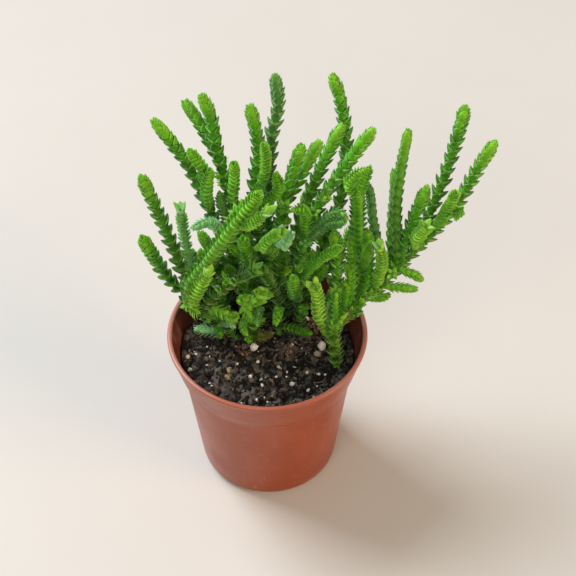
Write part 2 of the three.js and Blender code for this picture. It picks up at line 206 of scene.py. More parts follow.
STEMS: dict[str, list[Shoot]] = {
    "stem_left": [
        rooted(-9, 10, (-21, 11, 57), (-27, 13, 76), (-32.5, 15, 94)),
        side(MATURE, 0, 0.23, (-25, 9, 58.5), (-29, 8, 67.5), (-32.5, 5, 81.5)),
        side(YOUNG, 0, 0.3, (-21, 11, 66.5), (-22, 12, 75), (-22.5, 12, 85), ending=OPEN, tone=TEAL),
        side(YOUNG, 0, 0.12, (-18, 8.5, 49.5), (-21.5, 8, 50), ending=TUFT, tone=BLOOM),
        side(YOUNG, 0, 0.18, (-17, 14, 58), (-19, 15, 64), ending=TUFT, tone=DUSKY),
        side(YOUNG, 0, 0.14, (-17.2, 10.5, 60), (-17.6, 11, 71), tone=FRESH, girth=1.1),
        side(YOUNG, 0, 0.2, (-19.6, 12.5, 61), (-20.2, 13, 69)),
    ],
    "stem_front_left": [
        rooted(-9, 5, (-15, 4, 51), (-21, 3, 57), (-21, 4, 64), (-16, 3, 73), (-10, 1, 85), (-1, -1, 103)),
        side(YOUNG, 0, 0.15, (-11, 0.5, 55), (-7.5, -2, 58.5), tone=FRESH),
        side(MATURE, 0, 0.2, (-16, 1, 61), (-10, -1, 70), (-2, -4, 79), ending=TUFT, tone=DEEP),
        side(YOUNG, 0, 0.8, (-3.5, -3.6, 94.5), (0.8, -5.4, 100.5), ending=SPEAR, tone=FRESH),
        side(
            YOUNG, 0, 0.25, (-20, 1, 61), (-18.5, 0, 66), (-15, -1.5, 75),
            ending=SPEAR, tone=SPRING, girth=1.2,
        ),
        side(YOUNG, 0, 0.04, (-15, 4, 45.3), (-21, 4.5, 45.5), tone=BLOOM, girth=1.15),
        side(YOUNG, 0, 0.06, (-15.5, 6.5, 47.5), (-18.5, 7.3, 46.5), ending=TUFT, tone=BLOOM),
        side(YOUNG, 0, 0.1, (-13.3, 1.8, 49.5), (-13, 0.8, 45.5)),
        side(YOUNG, 0, 0.12, (-11.5, 3, 53), (-10.5, 3, 57), tone=DUSKY),
        side(YOUNG, 0, 0.16, (-13, 5.5, 56), (-12, 7, 60.5)),
        side(
            PLUMP, 0, 0.28, (-20.2, 2, 67), (-15.6, 1, 76), (-10, -0.6, 87.5), (-5.5, -1.4, 96),
            (-1.3, -2.2, 103.5), tone=FRESH, girth=1.2,
        ),
        side(YOUNG, 0, 0.2, (-21.6, 1.5, 59), (-17.8, -0.8, 57), ending=TUFT, tone=FRESH),
        side(YOUNG, 0, 0.14, (-15, 1.5, 57.5), (-11, 0, 56.5), (-7.4, -1.6, 55.8), tone=FRESH, girth=1.15),
        side(YOUNG, 0, 0.1, (-10.6, 0.5, 53), (-8.6, -0.6, 51), tone=BLOOM),
        side(YOUNG, 0, 0.28, (-17.2, 3, 65), (-14, 1.5, 60.5), tone=DUSKY),
    ],
    "stem_low_front": [
        rooted(-4, 3, (-4, 3, 54), (-5, 1, 60), (-7, -3, 66)),
        side(YOUNG, 0, 0.45, (-2.5, 1, 57), (-3, -4, 56), tone=DUSKY),
        side(YOUNG, 0, 0.1, (-6, -1, 46.5)),
        side(YOUNG, 0, 0.02, (-2.4, 2.2, 45), (-1.9, 1.2, 46.8), tone=OLIVE),
        side(YOUNG, 0, 0.02, (0.3, 3, 44.8), (1.2, 2, 46.5), tone=OLIVE),
        side(YOUNG, 0, 0.75, (-6, 0.5, 59), (-3.4, -1.6, 54.5), girth=1.1),
        side(YOUNG, 0, 0.5, (-6.5, 0.5, 52), (-5.6, -1.2, 48.5)),
        side(YOUNG, 0, 0.7, (-1.5, 1.5, 60.5), (0.4, 0.8, 61), tone=FRESH),
    ],
    "stem_back_left": [
        rooted(-6, 14, (-9, 15, 62), (-14.5, 15.5, 79), (-20.5, 19, 94), (-29, 22, 107)),
        side(SHORT, 0, 0.66, (-16, 14, 96), (-19.5, 12, 105.5)),
        side(SHORT, 0, 0.58, (-15.5, 12.5, 90.5), (-14, 11, 100)),
        side(YOUNG, 0, 0.25, (-13.5, 13, 66), (-16, 12, 71), tone=DUSKY),
    ],
    "stem_middle_left": [
        rooted(-3, 8, (-5, 10, 62), (-9.5, 15, 86), (-12.5, 20, 96), (-14, 24, 104.5), (-16.5, 26, 112)),
        side(MATURE, 0, 0.75, (-16.5, 25, 101), (-21.5, 29, 107.5)),
        side(SHORT, 0, 0.58, (-8, 12, 96), (-8, 10, 103)),
        side(YOUNG, 0, 0.42, (-11.5, 11, 77), (-15, 8, 83.5), (-20, 5, 84), tone=BLOOM),
        side(MATURE, 0, 0.25, (-5.5, 6, 73), (-6, 3, 83)),
        side(YOUNG, 0, 0.45, (-10, 14, 78), (-11.7, 14, 84), (-12.3, 14, 89.4), tone=DUSKY),
        side(YOUNG, 0, 0.2, (-9, 11, 60), (-11.3, 11, 65)),
    ],
    "stem_middle": [
        rooted(0, 12, (-1, 12, 62), (-3, 14, 88), (-2, 18, 100), (-4, 22, 112)),
        side(YOUNG, 0, 0.65, (-0.5, 12, 96), (0, 11, 103.5), (-0.5, 10, 109.5)),
        side(YOUNG, 0, 0.58, (3, 11, 92), (2.5, 10, 99.5)),
    ],
    "stem_back": [
        rooted(
            1, 17, (0, 20, 68), (0.7, 27, 86), (1.4, 30.5, 94.5), (3, 34.5, 101), (2.2, 38, 109), tone=DUSKY,
        ),
        side(YOUNG, 0, 0.3, (4, 18.5, 75), (4.5, 20, 80.5)),
    ],
    "stem_middle_right": [
        rooted(3, 6, (3, 8, 62), (4, 13, 84), (6.7, 17.5, 91.5), (9.3, 20, 100.5)),
        side(MATURE, 0, 0.68, (9.5, 24, 87), (14.5, 31, 92)),
        side(YOUNG, 0, 0.5, (-1, 2.5, 80), (1.5, 0, 86), (4, -3, 91), ending=SPEAR, tone=FRESH),
        side(YOUNG, 0, 0.55, (4.5, 3, 80.5), (6.5, -2, 90), tone=BLOOM),
        side(YOUNG, 0, 0.12, (3, 1.5, 56), (2, -2, 53.5)),
        side(MATURE, 0, 0.2, (1, 3, 66), (-1, 0, 75), tone=DEEP),
        side(YOUNG, 0, 0.28, (0, 2, 63), (-3, -3, 69), tone=FRESH),
        side(YOUNG, 0, 0.05, (8, 3.5, 46.5), (13, 1.5, 46.5)),
        side(YOUNG, 0, 0.3, (4.8, 8, 67), (5.2, 8, 73), tone=DEEP),
    ],
    "stem_cross": [rooted(5, 12, (7, 13, 62), (8, 14, 74), (11, 16, 84), (15, 20, 94), (20, 26, 102))],
    "stem_back_right": [
        rooted(10, 15, (15, 18, 62), (20, 23, 79), (21, 30, 93), (19.5, 35, 102), (17, 38, 109)),
        side(YOUNG, 0, 0.15, (19, 20, 56), (24, 27, 66)),
        side(YOUNG, 0, 0.3, (13, 20, 73), (12, 21, 79)),
    ],
    "stem_middle_front": [
        rooted(9, 9, (9, 9, 62), (10, 9, 76), (14.5, 12, 88), (21, 17, 96), (28, 22, 104)),
        side(YOUNG, 0, 0.52, (18, 8, 87), (21.5, 5.5, 86), tone=DUSKY),
        side(YOUNG, 0, 0.45, (15, 8, 82), (21, 5, 87), tone=DUSKY),
        side(YOUNG, 0, 0.28, (14, 5, 73), (20, 3, 80)),
        side(YOUNG, 0, 0.1, (10, 4, 54), (9, 2, 57)),
        side(MATURE, 0, 0.16, (7.5, 4, 61), (7, 1.5, 70)),
        side(YOUNG, 0, 0.5, (10, 8, 87), (6, 6, 90)),
        side(YOUNG, 0, 0.14, (13, 9.5, 60), (16.4, 8.6, 67)),
        side(YOUNG, 0, 0.18, (15, 11, 62), (20.5, 10, 68.5), tone=DEEP),
        side(YOUNG, 0, 0.3, (10.8, 8, 69), (11, 7.5, 74)),
    ],
    "stem_right": [
        rooted(
            19, -6, (18, -3, 52), (23, 3, 56), (30, 7, 60), (37, 12, 65), (46.5, 16, 75), (52, 19, 83),
            (56, 22, 90.5), (60, 24, 98), dry=(0.135, 0.155),
        ),
        side(
            PLUMP, 0, 0.08, (16.5, -1, 50.5), (14, 0.2, 57), (13.5, 0.4, 64), (12, 0, 69.5),
            ending=TUFT, tone=LIME, girth=1.1,
        ),
        side(STOUT, 0, 0.24, (26, 8, 62), (24.5, 9, 73), (24, 11, 84.5), (23.5, 12, 94)),
        side(YOUNG, 2, 0.88, (21.3, 10.2, 94.5), (22.8, 9.6, 98.5), (25.4, 9.4, 101.5), tone=FRESH),
        side(YOUNG, 2, 0.7, (25, 17, 91), (28, 20, 92)),
        side(YOUNG, 2, 0.3, (27, 4, 80)),
        side(
            SLEEK, 0, 0.38, (31, 12, 66), (28.5, 16, 76), (27.5, 19, 83), (25.5, 20, 88),
            tone=DUSKY, girth=0.9,
        ),
        side(SLEEK, 0, 0.45, (34.5, 16, 80), (35, 19, 91), (36.7, 22, 104)),
        side(SLEEK, 0, 0.42, (34, 20, 70.5), (34.5, 24, 76.5), (34.5, 28, 85)),
        side(MATURE, 0, 0.52, (46, 22, 81), (49.5, 27, 92), (52, 30, 105)),
        side(MATURE, 0, 0.46, (38, 13, 75.5), (42, 15, 90)),
        side(PLUMP, 0, 0.64, (47, 13, 82), (49, 10, 93), tone=FRESH),
        side(PLUMP, 0, 0.54, (40, 10, 76), (42, 7, 84), ending=TUFT, tone=FRESH, girth=1.1),
        side(YOUNG, 0, 0.7, (50.5, 13, 83), (48, 9, 84.5), ending=TUFT),
        side(SHORT, 0, 0.44, (39.5, 9, 63), (43, 9, 60), girth=0.9),
        side(SHORT, 0, 0.36, (38.5, 5, 61.5), (41.5, 5, 61.5), girth=0.9),
        side(YOUNG, 0, 0.34, (30.5, 5, 72), (29.5, 4, 79), ending=OPEN, tone=SPRING),
        side(MATURE, 0, 0.2, (19, 7, 60), (19, 9, 67), (18, 12, 77)),
        side(YOUNG, 0, 0.12, (16, 2, 57), (20, 4, 60), tone=DUSKY),
        side(YOUNG, 0, 0.3, (31.5, 5, 58), (33.5, 5, 60)),
        side(YOUNG, 0, 0.17, (22.5, 7, 62.5), (21.5, 8, 69.5)),
        Shoot(YOUNG, ((18.1, -4.2, 47.5), (17.4, -2.6, 53), (19.5, 0.8, 56)), root=(18.8, -6.3), tone=FRESH),
        Shoot(YOUNG, ((19.1, -4.4, 48), (18.5, -2.6, 53.5), (22.5, 1.5, 57)), root=(19.3, -6.2), tone=FRESH),
        side(YOUNG, 0, 0.17, (24.3, 1.2, 56.8), (26.4, 0.8, 56.6), ending=TUFT, tone=DEEP),
        side(YOUNG, 0, 0.16, (22.0, 0.5, 56.5), (21.3, 0.2, 57.5), tone=OLIVE),
        side(YOUNG, 0, 0.12, (17, 3, 57), (17.3, 5, 61.5), tone=DUSKY),
        side(YOUNG, 0, 0.14, (18.5, 3, 60), (18.4, 3.5, 64), ending=TUFT),
        side(YOUNG, 0, 0.18, (21.5, 5, 60.5), (20.3, 5.5, 64.5)),
        side(YOUNG, 2, 0.9, (25.4, 11.4, 97), (26.8, 11.2, 100.6)),
        side(SHORT, 0, 0.27, (27.4, 7.6, 63), (27.4, 8.8, 70), (26.6, 9.8, 79.5)),
        side(SHORT, 0, 0.23, (23.2, 8.2, 64), (22.8, 9.2, 71), (22.8, 9.8, 77)),
    ],
    "stem_low_back_left": [rooted(-11, 16, (-14, 19, 56), (-19, 23, 66))],
    "stem_low_back": [rooted(-4, 19, (-5, 24, 57), (-7, 31, 70))],
    "stem_low_back_right": [rooted(6, 18, (9, 24, 58), (11, 32, 73))],
}

SPROUTS: dict[str, list[Sprouting]] = {
    "stem_left": [Sprouting(0, 9, 0.08, 0.3, 3.2, 5.5), Sprouting(0, 6, 0.3, 0.6, 2.2, 3.2)],
    "stem_front_left": [
        Sprouting(0, 6, 0.03, 0.2, 3.2, 5.5),
        Sprouting(0, 26, 0.3, 0.88, 2.3, 3.9),
        Sprouting(2, 14, 0.1, 0.75, 2.2, 3.4),
    ],
    "stem_low_front": [Sprouting(0, 7, 0.1, 0.9, 2.6, 4.5)],
    "stem_back_left": [Sprouting(0, 4, 0.1, 0.4, 3, 5.5)],
    "stem_middle_left": [Sprouting(0, 14, 0.1, 0.55, 3, 6), Sprouting(0, 8, 0.5, 0.8, 2.2, 3.2)],
    "stem_middle": [Sprouting(0, 13, 0.1, 0.55, 3, 6)],
    "stem_back": [Sprouting(0, 3, 0.1, 0.4, 3, 5.5)],
    "stem_middle_right": [Sprouting(0, 16, 0.2, 0.75, 3, 5.5)],
    "stem_cross": [Sprouting(0, 10, 0.15, 0.55, 2.6, 4.8)],
    "stem_back_right": [Sprouting(0, 4, 0.05, 0.3, 3, 5.5)],
    "stem_middle_front": [Sprouting(0, 12, 0.1, 0.5, 2.8, 5.5), Sprouting(0, 5, 0.5, 0.8, 2.2, 3.2)],
    "stem_right": [
        Sprouting(0, 24, 0.13, 0.5, 2.4, 4.6),
        Sprouting(2, 10, 0.05, 0.7, 2.4, 3.6),
        Sprouting(6, 6, 0.05, 0.5, 2.2, 3.6),
        Sprouting(17, 8, 0.1, 0.8, 2.4, 4.4),
    ],
    "stem_low_back_left": [Sprouting(0, 3, 0.1, 0.6, 3, 5.5)],
    "stem_low_back": [Sprouting(0, 3, 0.1, 0.6, 3, 5.5)],
    "stem_low_back_right": [Sprouting(0, 3, 0.1, 0.6, 3, 5.5)],
}


def unit(vectors: Array) -> Array:
    """The same directions at length one."""
    return vectors / np.linalg.norm(vectors, axis=-1, keepdims=True)


def value_noise(points: Array, cell: float, seed: int) -> Array:
    """Smooth noise between -1 and 1.

    Each corner of a cubic lattice holds a drawn value, found by hashing its whole-number place, and a point
    takes the mean of its eight corners, weighted by a smooth step along each axis.

    Args:
        points: Places, as rows of three coordinates.
        cell: Size of a lattice cell, in the places' unit.
        seed: Number of the drawn lattice.

    Returns:
        One value for each place.
    """
    draw = np.random.default_rng([SEED, seed])
    order = draw.permutation(256)
    values = draw.uniform(-1, 1, 256)
    scaled = points / cell
    whole = np.floor(scaled).astype(int)
    part = scaled - whole
    weight = part * part * (3 - 2 * part)
    total = np.zeros(len(points))
    for corner in np.ndindex(2, 2, 2):
        place = (whole + corner) & 255
        hashed = order[(order[(order[place[:, 0]] + place[:, 1]) & 255] + place[:, 2]) & 255]
        share = np.where(corner, weight, 1 - weight).prod(axis=1)
        total += share * values[hashed]
    return total


def put(name: str, data: bpy.types.ID) -> bpy.types.Object:
    """Makes an object of a mesh, a light or a camera, and puts it into the scene.

    Args:
        name: The object's name.
        data: What it shows.

    Returns:
        The object.
    """
    made = bpy.data.objects.new(name, data)
    bpy.context.scene.collection.objects.link(made)
    return made


def greys(tint: Array) -> dict[str, Array]:
    """The paint called "tint": one grey for each point."""
    return {"tint": np.stack([tint, tint, tint, np.ones_like(tint)], -1)}


@dataclass
class Surface:
    """Part of a mesh: points in millimetres, faces grouped by their number of corners, and painted values."""

    points: Array
    faces: list[IntArray]
    paint: dict[str, Array] = field(default_factory=dict)

    @staticmethod
    def joined(parts: list["Surface"]) -> "Surface":
        """All parts as one surface.

        Args:
            parts: The surfaces, painted alike.

        Returns:
            One surface, in which each part keeps its own points.
        """
        starts = np.cumsum([0] + [len(part.points) for part in parts])
        faces = [face + start for part, start in zip(parts, starts) for face in part.faces]
        paint = {name: np.vstack([part.paint[name] for part in parts]) for name in parts[0].paint}
        return Surface(np.vstack([part.points for part in parts]), faces, paint)

    def piece(self, name: str, material: bpy.types.Material, slot: str, *nodes: str) -> bpy.types.Object:
        """Makes the surface a mesh object that rides on the frame.

        Args:
            name: The piece's name.
            material: Its finish.
            slot: Name of a material slot; not used.
            *nodes: Frame nodes that the piece stands for.

        Returns:
            The object, at the origin, with its place in its mesh.
        """
        corners = np.concatenate([face.ravel() for face in self.faces])
        sizes = np.concatenate([np.full(len(face), face.shape[1]) for face in self.faces])
        mesh = bpy.data.meshes.new(name)
        mesh.vertices.add(len(self.points))
        mesh.vertices.foreach_set("co", (self.points * MM).astype(np.float32).ravel())
        mesh.loops.add(len(corners))
        mesh.loops.foreach_set("vertex_index", corners.astype(np.int32))
        mesh.polygons.add(len(sizes))
        mesh.polygons.foreach_set("loop_start", np.concatenate([[0], np.cumsum(sizes)[:-1]]).astype(np.int32))
        mesh.polygons.foreach_set("use_smooth", np.ones(len(sizes), bool))
        mesh.update(calc_edges=True)
        for channel, values in self.paint.items():
            layer = mesh.attributes.new(channel, "FLOAT_COLOR", "POINT")
            layer.data.foreach_set("color", values.astype(np.float32).ravel())
        mesh.materials.append(material)
        made = put(name, mesh)
        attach(made, "root")
        if nodes:
            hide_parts(*nodes)
        log.info("%s: %d faces", name, len(sizes))
        return made


def ring_faces(rings: int, sides: int) -> IntArray:
    """Quads between consecutive rings of points.

    Args:
        rings: Number of rings.
        sides: Points in each ring.

    Returns:
        Rows of four point numbers, counted ring by ring.
    """
    ring, turn = np.meshgrid(np.arange(rings - 1), np.arange(sides), indexing="ij")
    here, after = ring * sides + turn, ring * sides + (turn + 1) % sides
    return np.stack([here, after, after + sides, here + sides], axis=-1).reshape(-1, 4)


def fan_faces(pole: int, start: int, sides: int, outward: bool) -> IntArray:
    """Triangles between a pole and a ring.

    Args:
        pole: Number of the pole's point.
        start: Number of the ring's first point.
        sides: Points in the ring.
        outward: Whether the ring is passed in its own order.

    Returns:
        Rows of three point numbers.
    """
    one = start + np.arange(sides)
    two = start + (np.arange(sides) + 1) % sides
    pair = (one, two) if outward else (two, one)
    return np.stack([np.full(sides, pole), *pair], axis=-1)


def tube_faces(rings: int, sides: int) -> list[IntArray]:
    """Faces of a tube of rings, closed by a flat face at each end."""
    ends = np.arange(sides)[None, ::-1], (rings - 1) * sides + np.arange(sides)[None, :]
    return [ring_faces(rings, sides), *ends]


def globe_faces(rings: int, sides: int) -> list[IntArray]:
    """Faces of a shape of rings between two poles, whose points follow the rings' in the rings' order.

    Args:
        rings: Number of rings.
        sides: Points in each ring.

    Returns:
        The quads, and the two fans of triangles.
    """
    count = rings * sides
    low = fan_faces(count, 0, sides, outward=False)
    high = fan_faces(count + 1, count - sides, sides, outward=True)
    return [ring_faces(rings, sides), low, high]


def circle(sides: int) -> tuple[Array, Array]:
    """Cosines and sines of even turns round a circle."""
    turn = np.linspace(0, 2 * np.pi, sides, endpoint=False)
    return np.cos(turn), np.sin(turn)


def repeated(faces: IntArray, copies: int, points: int) -> IntArray:
    """The faces of one shape for many copies of it, each copy with its own points."""
    return (faces[None] + (np.arange(copies) * points)[:, None, None]).reshape(-1, faces.shape[1])


class Line:
    """A smooth line through points, a Catmull-Rom curve with tension one half, measured along its length."""

    LENGTH_SAMPLES = 200
    FRAME_STEP = 0.5

    def __init__(self, points: list[Point] | Array) -> None:
        """Measures the line and carries a frame along it.

        Args:
            points: The points that it passes through, in millimetres.
        """
        through = np.asarray(points, float)
        before, after = 2 * through[0] - through[1], 2 * through[-1] - through[-2]
        self.knots = np.vstack([before, through, after])
        self.shares = np.linspace(0, 1, self.LENGTH_SAMPLES + 1)
        walk = self._at_parameter(self.shares)
        self.lengths = np.concatenate([[0], np.cumsum(np.linalg.norm(np.diff(walk, axis=0), axis=1))])
        self.length = float(self.lengths[-1])
        self._carry_frames()

    def _at_parameter(self, share: Array) -> Array:
        """Places on the line: a cubic between each two points, its slopes half the span of their neighbours.

        Args:
            share: Shares of the way, counted in points.

        Returns:
            Rows of three coordinates.
        """
        spans = len(self.knots) - 3
        scaled = share * spans
        first = np.clip(np.floor(scaled).astype(int), 0, spans - 1)
        t = (scaled - first)[:, None]
        p0, p1, p2, p3 = (self.knots[first + k] for k in range(4))
        slope1, slope2 = (p2 - p0) / 2, (p3 - p1) / 2
        rise = t * t * (3 - 2 * t)
        return p1 * (1 - rise) + p2 * rise + slope1 * t * (1 - t) ** 2 - slope2 * t * t * (1 - t)

    def at(self, distance: Array | float) -> Array:
        """Places at distances along the line."""
        share = np.interp(np.atleast_1d(distance), self.lengths, self.shares)
        return self._at_parameter(share)

    def _carry_frames(self) -> None:
        """Carries a cross direction along the line.

        Each is the last one, turned by the least turn that follows the line, so that ranks of leaves run
        straight.
        """
        steps = math.ceil(self.length / self.FRAME_STEP)
        self.stations = np.linspace(0, self.length, steps + 1)
        places = self.at(self.stations)
        tangents = unit(np.gradient(places, axis=0))
        smallest = np.zeros(3)
        smallest[2 - np.argmin(np.abs(tangents[0])[::-1])] = 1
        across = unit(np.cross(tangents[0], smallest))
        normal = np.cross(tangents[0], across)
        normals = [normal]
        for last, now in zip(tangents[:-1], tangents[1:]):
            axis = np.cross(last, now)
            turned = normal + np.cross(axis, normal)
            turned = turned + np.cross(axis, np.cross(axis, normal)) / (1 + last @ now)
            normal = unit(turned - now * (turned @ now))
            normals.append(normal)
        self.tangents, self.normals = tangents, np.array(normals)

    def frame(self, distance: Array) -> tuple[Array, Array, Array]:
        """Tangent, normal and binormal of the line.

        Args:
            distance: Distances along it.

        Returns:
            Three arrays of unit directions.
        """
        tangent = unit(self._sampled(self.tangents, distance))
        normal = self._sampled(self.normals, distance)
        normal = unit(normal - tangent * np.sum(normal * tangent, axis=1, keepdims=True))
        return tangent, normal, np.cross(tangent, normal)

    def _sampled(self, rows: Array, distance: Array) -> Array:
        """Rows held at the stations, read between them."""
        return np.stack([np.interp(distance, self.stations, rows[:, k]) for k in range(3)], axis=-1)


@dataclass
class LeafRows:
    """Many leaves as columns of numbers: place, directions, sizes, and the painted values of each."""

    foot: Array
    along: Array
    out: Array
    length: Array
    half_width: Array
    thickness: Array
    foot_angle: Array
    tip_angle: Array
    cup: Array
    # How old each leaf is, with painted shade added past full growth.
    age: Array
    tint: Array
    tone: Array

    @staticmethod
    def joined(parts: list["LeafRows"]) -> "LeafRows":
        """All rows of all parts."""
        names = LeafRows.__dataclass_fields__
        return LeafRows(**{name: np.concatenate([getattr(part, name) for part in parts]) for name in names})


class LeafShape:
    """The surface of a scale leaf: a ring of points carried from its foot to its tip.

    The ring is a wedge, keeled outside and rounded inside, whose margins clasp the stem. Its middle line
    curves evenly from the foot's angle to the tip's. Its half width is the share left to the tip, nearly
    straight, times a width that grows along the leaf. It thins as the share left to a gentle power.
    """

    ACROSS = np.array([-1, -0.74, -0.38, 0, 0.38, 0.74, 1, 0.4, -0.4])
    OUTSIDE = np.array([1, 1, 1, 1, 1, 1, 1, 0, 0], bool)
    STATIONS = np.array([0, 0.22, 0.48, 0.74, 0.93])
    POINTED = 0.95
    NARROW_FOOT = 0.75
    BROADENING = 1.8
    ROUNDING = 2.0
    KEEL = 0.7
    THINNING = 0.78
    CUP_FADING = 0.6

    def surface(self, leaves: LeafRows) -> Surface:
        """Builds every leaf at once.

        Args:
            leaves: The leaves' places, directions and sizes.

        Returns:
            Closed leaves with two painted colours: "leaf" holds the share along the leaf, the nearness to its
                margin, how far it has grown old with painted shade added, and its tint, and "shoot" its
                shares of lime, bloom and olive, and 1 inside.
        """
        count = len(leaves.length)
        share = np.append(self.STATIONS, 1.0)
        start = np.radians(leaves.foot_angle)[:, None]
        bend = np.radians(leaves.tip_angle)[:, None] - start
        angle = start + bend * share
        rise = leaves.length[:, None] * (np.sin(angle) - np.sin(start)) / bend
        reach = leaves.length[:, None] * (np.cos(start) - np.cos(angle)) / bend
        along, out = leaves.along[:, None], leaves.out[:, None]
        middle = leaves.foot[:, None] + rise[..., None] * along + reach[..., None] * out
        facing = -np.sin(angle)[..., None] * along + np.cos(angle)[..., None] * out
        across = np.cross(leaves.along, leaves.out)[:, None, None]

        width = (1 - share) ** self.POINTED * (self.NARROW_FOOT + self.BROADENING * share)
        swell = (1 - share) ** self.THINNING
        away = np.abs(self.ACROSS)
        outer = 1 - (1 - self.KEEL) * away**self.ROUNDING - self.KEEL * away
        inner = self.ACROSS**2 - 1
        section = np.where(self.OUTSIDE, outer, inner)
        sideways = leaves.half_width[:, None, None] * width[None, :-1, None] * self.ACROSS
        lift = leaves.thickness[:, None, None] * swell[None, :-1, None] * section
        cup = leaves.cup[:, None] * (1 - self.CUP_FADING * share[:-1])
        lift = lift - cup[..., None] * sideways**2
        rings = middle[:, :-1, None] + sideways[..., None] * across + lift[..., None] * facing[:, :-1, None]

        sides, stations = len(self.ACROSS), len(self.STATIONS)
        per_leaf = sides * stations + 1
        points = np.concatenate([rings.reshape(count, -1, 3), middle[:, -1:]], axis=1).reshape(-1, 3)
        one_leaf = [
            ring_faces(stations, sides)[:, ::-1],
            fan_faces(per_leaf - 1, (stations - 1) * sides, sides, outward=False),
            np.arange(sides)[None, :],
        ]
        faces = [repeated(face, count, per_leaf) for face in one_leaf]

        whole = np.ones((count, per_leaf))
        length_share = np.append(np.repeat(self.STATIONS, sides), 1.0) * whole
        margin = np.append(np.tile(np.abs(self.ACROSS), stations), 1.0) * whole
        inside = np.append(np.tile(~self.OUTSIDE, stations), False) * whole
        leaf = np.stack([length_share, margin, leaves.age[:, None] * whole, leaves.tint[:, None] * whole], -1)
        tone = leaves.tone[:, None, :] * whole[..., None]
        shoot = np.concatenate([tone, inside[..., None]], axis=-1)
        return Surface(points, faces, {"leaf": leaf.reshape(-1, 4), "shoot": shoot.reshape(-1, 4)})


@dataclass
class LeafyStem:
    """One rooted stem with its side shoots, all in one mesh."""

    name: str
    shoots: list[Shoot]
    number: int
    shape: LeafShape = field(default_factory=LeafShape)
    bud_height: float = 1.5
    bud_length_share: float = 0.55
    bud_width_share: float = 0.58
    bud_thickness_share: float = 0.35
    bud_seat: float = 0.25
    seat_growth: float = 0.2
    bud_foot_angle: float = 24.0
    bud_tip_angle: float = 4.0
    lengthening: float = 2.2
    widening: float = 3.0
    club_place: float = 2.6
    club_reach: float = 2.4
    star_reach: float = 1.6
    star_length: float = 0.7
    star_foot_angle: float = 34.0
    star_tip_angle: float = 24.0
    long_shoot: float = 8.0
    small_end: float = 0.65
    least_bend: float = 3.0
    bare_length: float = 1.0
    age_length: float = 30.0
    # Painted shade low in the crown: the height where it starts, the depth over which it grows, its strength,
    # and how far from the growing point it takes to set in.
    crown_top: float = 60.0
    crown_depth: float = 14.0
    crown_shade: float = 1.2
    shade_reach: float = 5.0
    dryness: float = 0.8
    facing_share: float = 0.7
    gap_power: float = 1.7
    gap_samples: int = 400
    sprout_lean: tuple[float, float] = (0.35, 0.8)
    place_play: float = 0.05
    angle_play: float = 3.0
    lime_play: tuple[float, float] = (-0.1, 0.2)
    spin_play: float = 13.0
    rank_play: float = 5.0
    size_play: float = 0.06
    width_play: float = 0.04
    core_sides: int = 8
    core_step: float = 1.2
    core_taper: float = 3.0
    core_end: float = 0.02

    @staticmethod
    def lines(shoots: list[Shoot]) -> list[Line]:
        """The line of each shoot.

        Args:
            shoots: The shoots, each after the one that carries it.

        Returns:
            Their lines, side shoots starting on the line that carries them.
        """
        lines: list[Line] = []
        for shoot in shoots:
            if shoot.root:
                start = np.array([*shoot.root, CROWN_Z])
            else:
                carrier = lines[shoot.on]
                start = carrier.at(shoot.at * carrier.length)[0]
            lines.append(Line([start, *shoot.points]))
        return lines

    def sprouts(self, lines: list[Line], draw: np.random.Generator) -> list[Shoot]:
        """Draws the small side buds of a stem: each leaves its carrier sideways and bends upright.

        Args:
            lines: The lines of the stem's shoots.
            draw: The stem's random draw.

        Returns:
            Short shoots.
        """
        made = []
        for sprouting in SPROUTS[self.name]:
            carrier = lines[sprouting.on]
            for share in draw.uniform(sprouting.low, sprouting.high, sprouting.count):
                start = carrier.at(share * carrier.length)[0]
                turn, lean = draw.uniform(0, 2 * np.pi), draw.uniform(*self.sprout_lean)
                heading = np.array([math.cos(turn), math.sin(turn), 0])
                length = draw.uniform(sprouting.shortest, sprouting.longest)
                elbow = start + length * (0.4 * heading + [0, 0, 0.25])
                end = start + length * (lean * heading + [0, 0, 1 - 0.5 * lean])
                growth = (YOUNG, YOUNG, SHORT)[draw.integers(3)]
                ending = (BUD, BUD, BUD, TUFT, TUFT, SPEAR)[draw.integers(6)]
                # Deep and dusky tones carry painted shade.
                tone = (GREEN, GREEN, GREEN, FRESH, DEEP, DUSKY)[draw.integers(6)]
                points = (tuple(elbow), tuple(end))
                made.append(Shoot(growth, points, on=sprouting.on, at=float(share), ending=ending, tone=tone))
        return made

    def pair_distances(self, habit: LeafHabit, usable: float) -> Array:
        """Distances of the leaf pairs from the growing point.

        The gap between pairs grows from the bud's to the full one with the distance, along a curve that is
        flat at first. Pairs stand where the running sum of one over the gap passes whole numbers.

        Args:
            habit: The shoot's leaf sizes.
            usable: Length of the shoot that bears leaves.

        Returns:
            One distance for each pair.
        """
        fine = np.linspace(0, usable, self.gap_samples)
        near = np.exp(-((fine / habit.settling) ** self.gap_power))
        gap = habit.spacing + (habit.bud_spacing - habit.spacing) * near
        counted = np.concatenate([[0], np.cumsum(np.diff(fine) / gap[1:])])
        return np.interp(np.arange(math.floor(counted[-1]) + 1), counted, fine)

    @staticmethod
    def sideways(line: Line, distance: float) -> float:
        """The turn that points a rank of leaves across the plant's front.

        Args:
            line: The shoot's line.
            distance: Where on it the rank is looked at.

        Returns:
            Degrees from the line's carried normal.
        """
        tangent, normal, binormal = line.frame(np.array([distance]))
        across = np.cross(tangent[0], FRONT)
        return math.degrees(math.atan2(across @ binormal[0], across @ normal[0]))

    def spin(self, shoot: Shoot, line: Line, draw: np.random.Generator) -> float:
        """How far round the stem the first rank of leaves stands.

        Args:
            shoot: The shoot.
            line: Its line.
            draw: The stem's random draw.

        Returns:
            Degrees from the line's carried normal.
        """
        looked_at = self.facing_share * (line.length - self.bud_height)
        spin = self.sideways(line, looked_at) + draw.normal(0, self.spin_play)
        if shoot.ending is SPEAR:
            return spin + 90
        if shoot.ending is not OPEN and shoot.growth is YOUNG:
            return spin + 45 * draw.integers(2)
        return spin

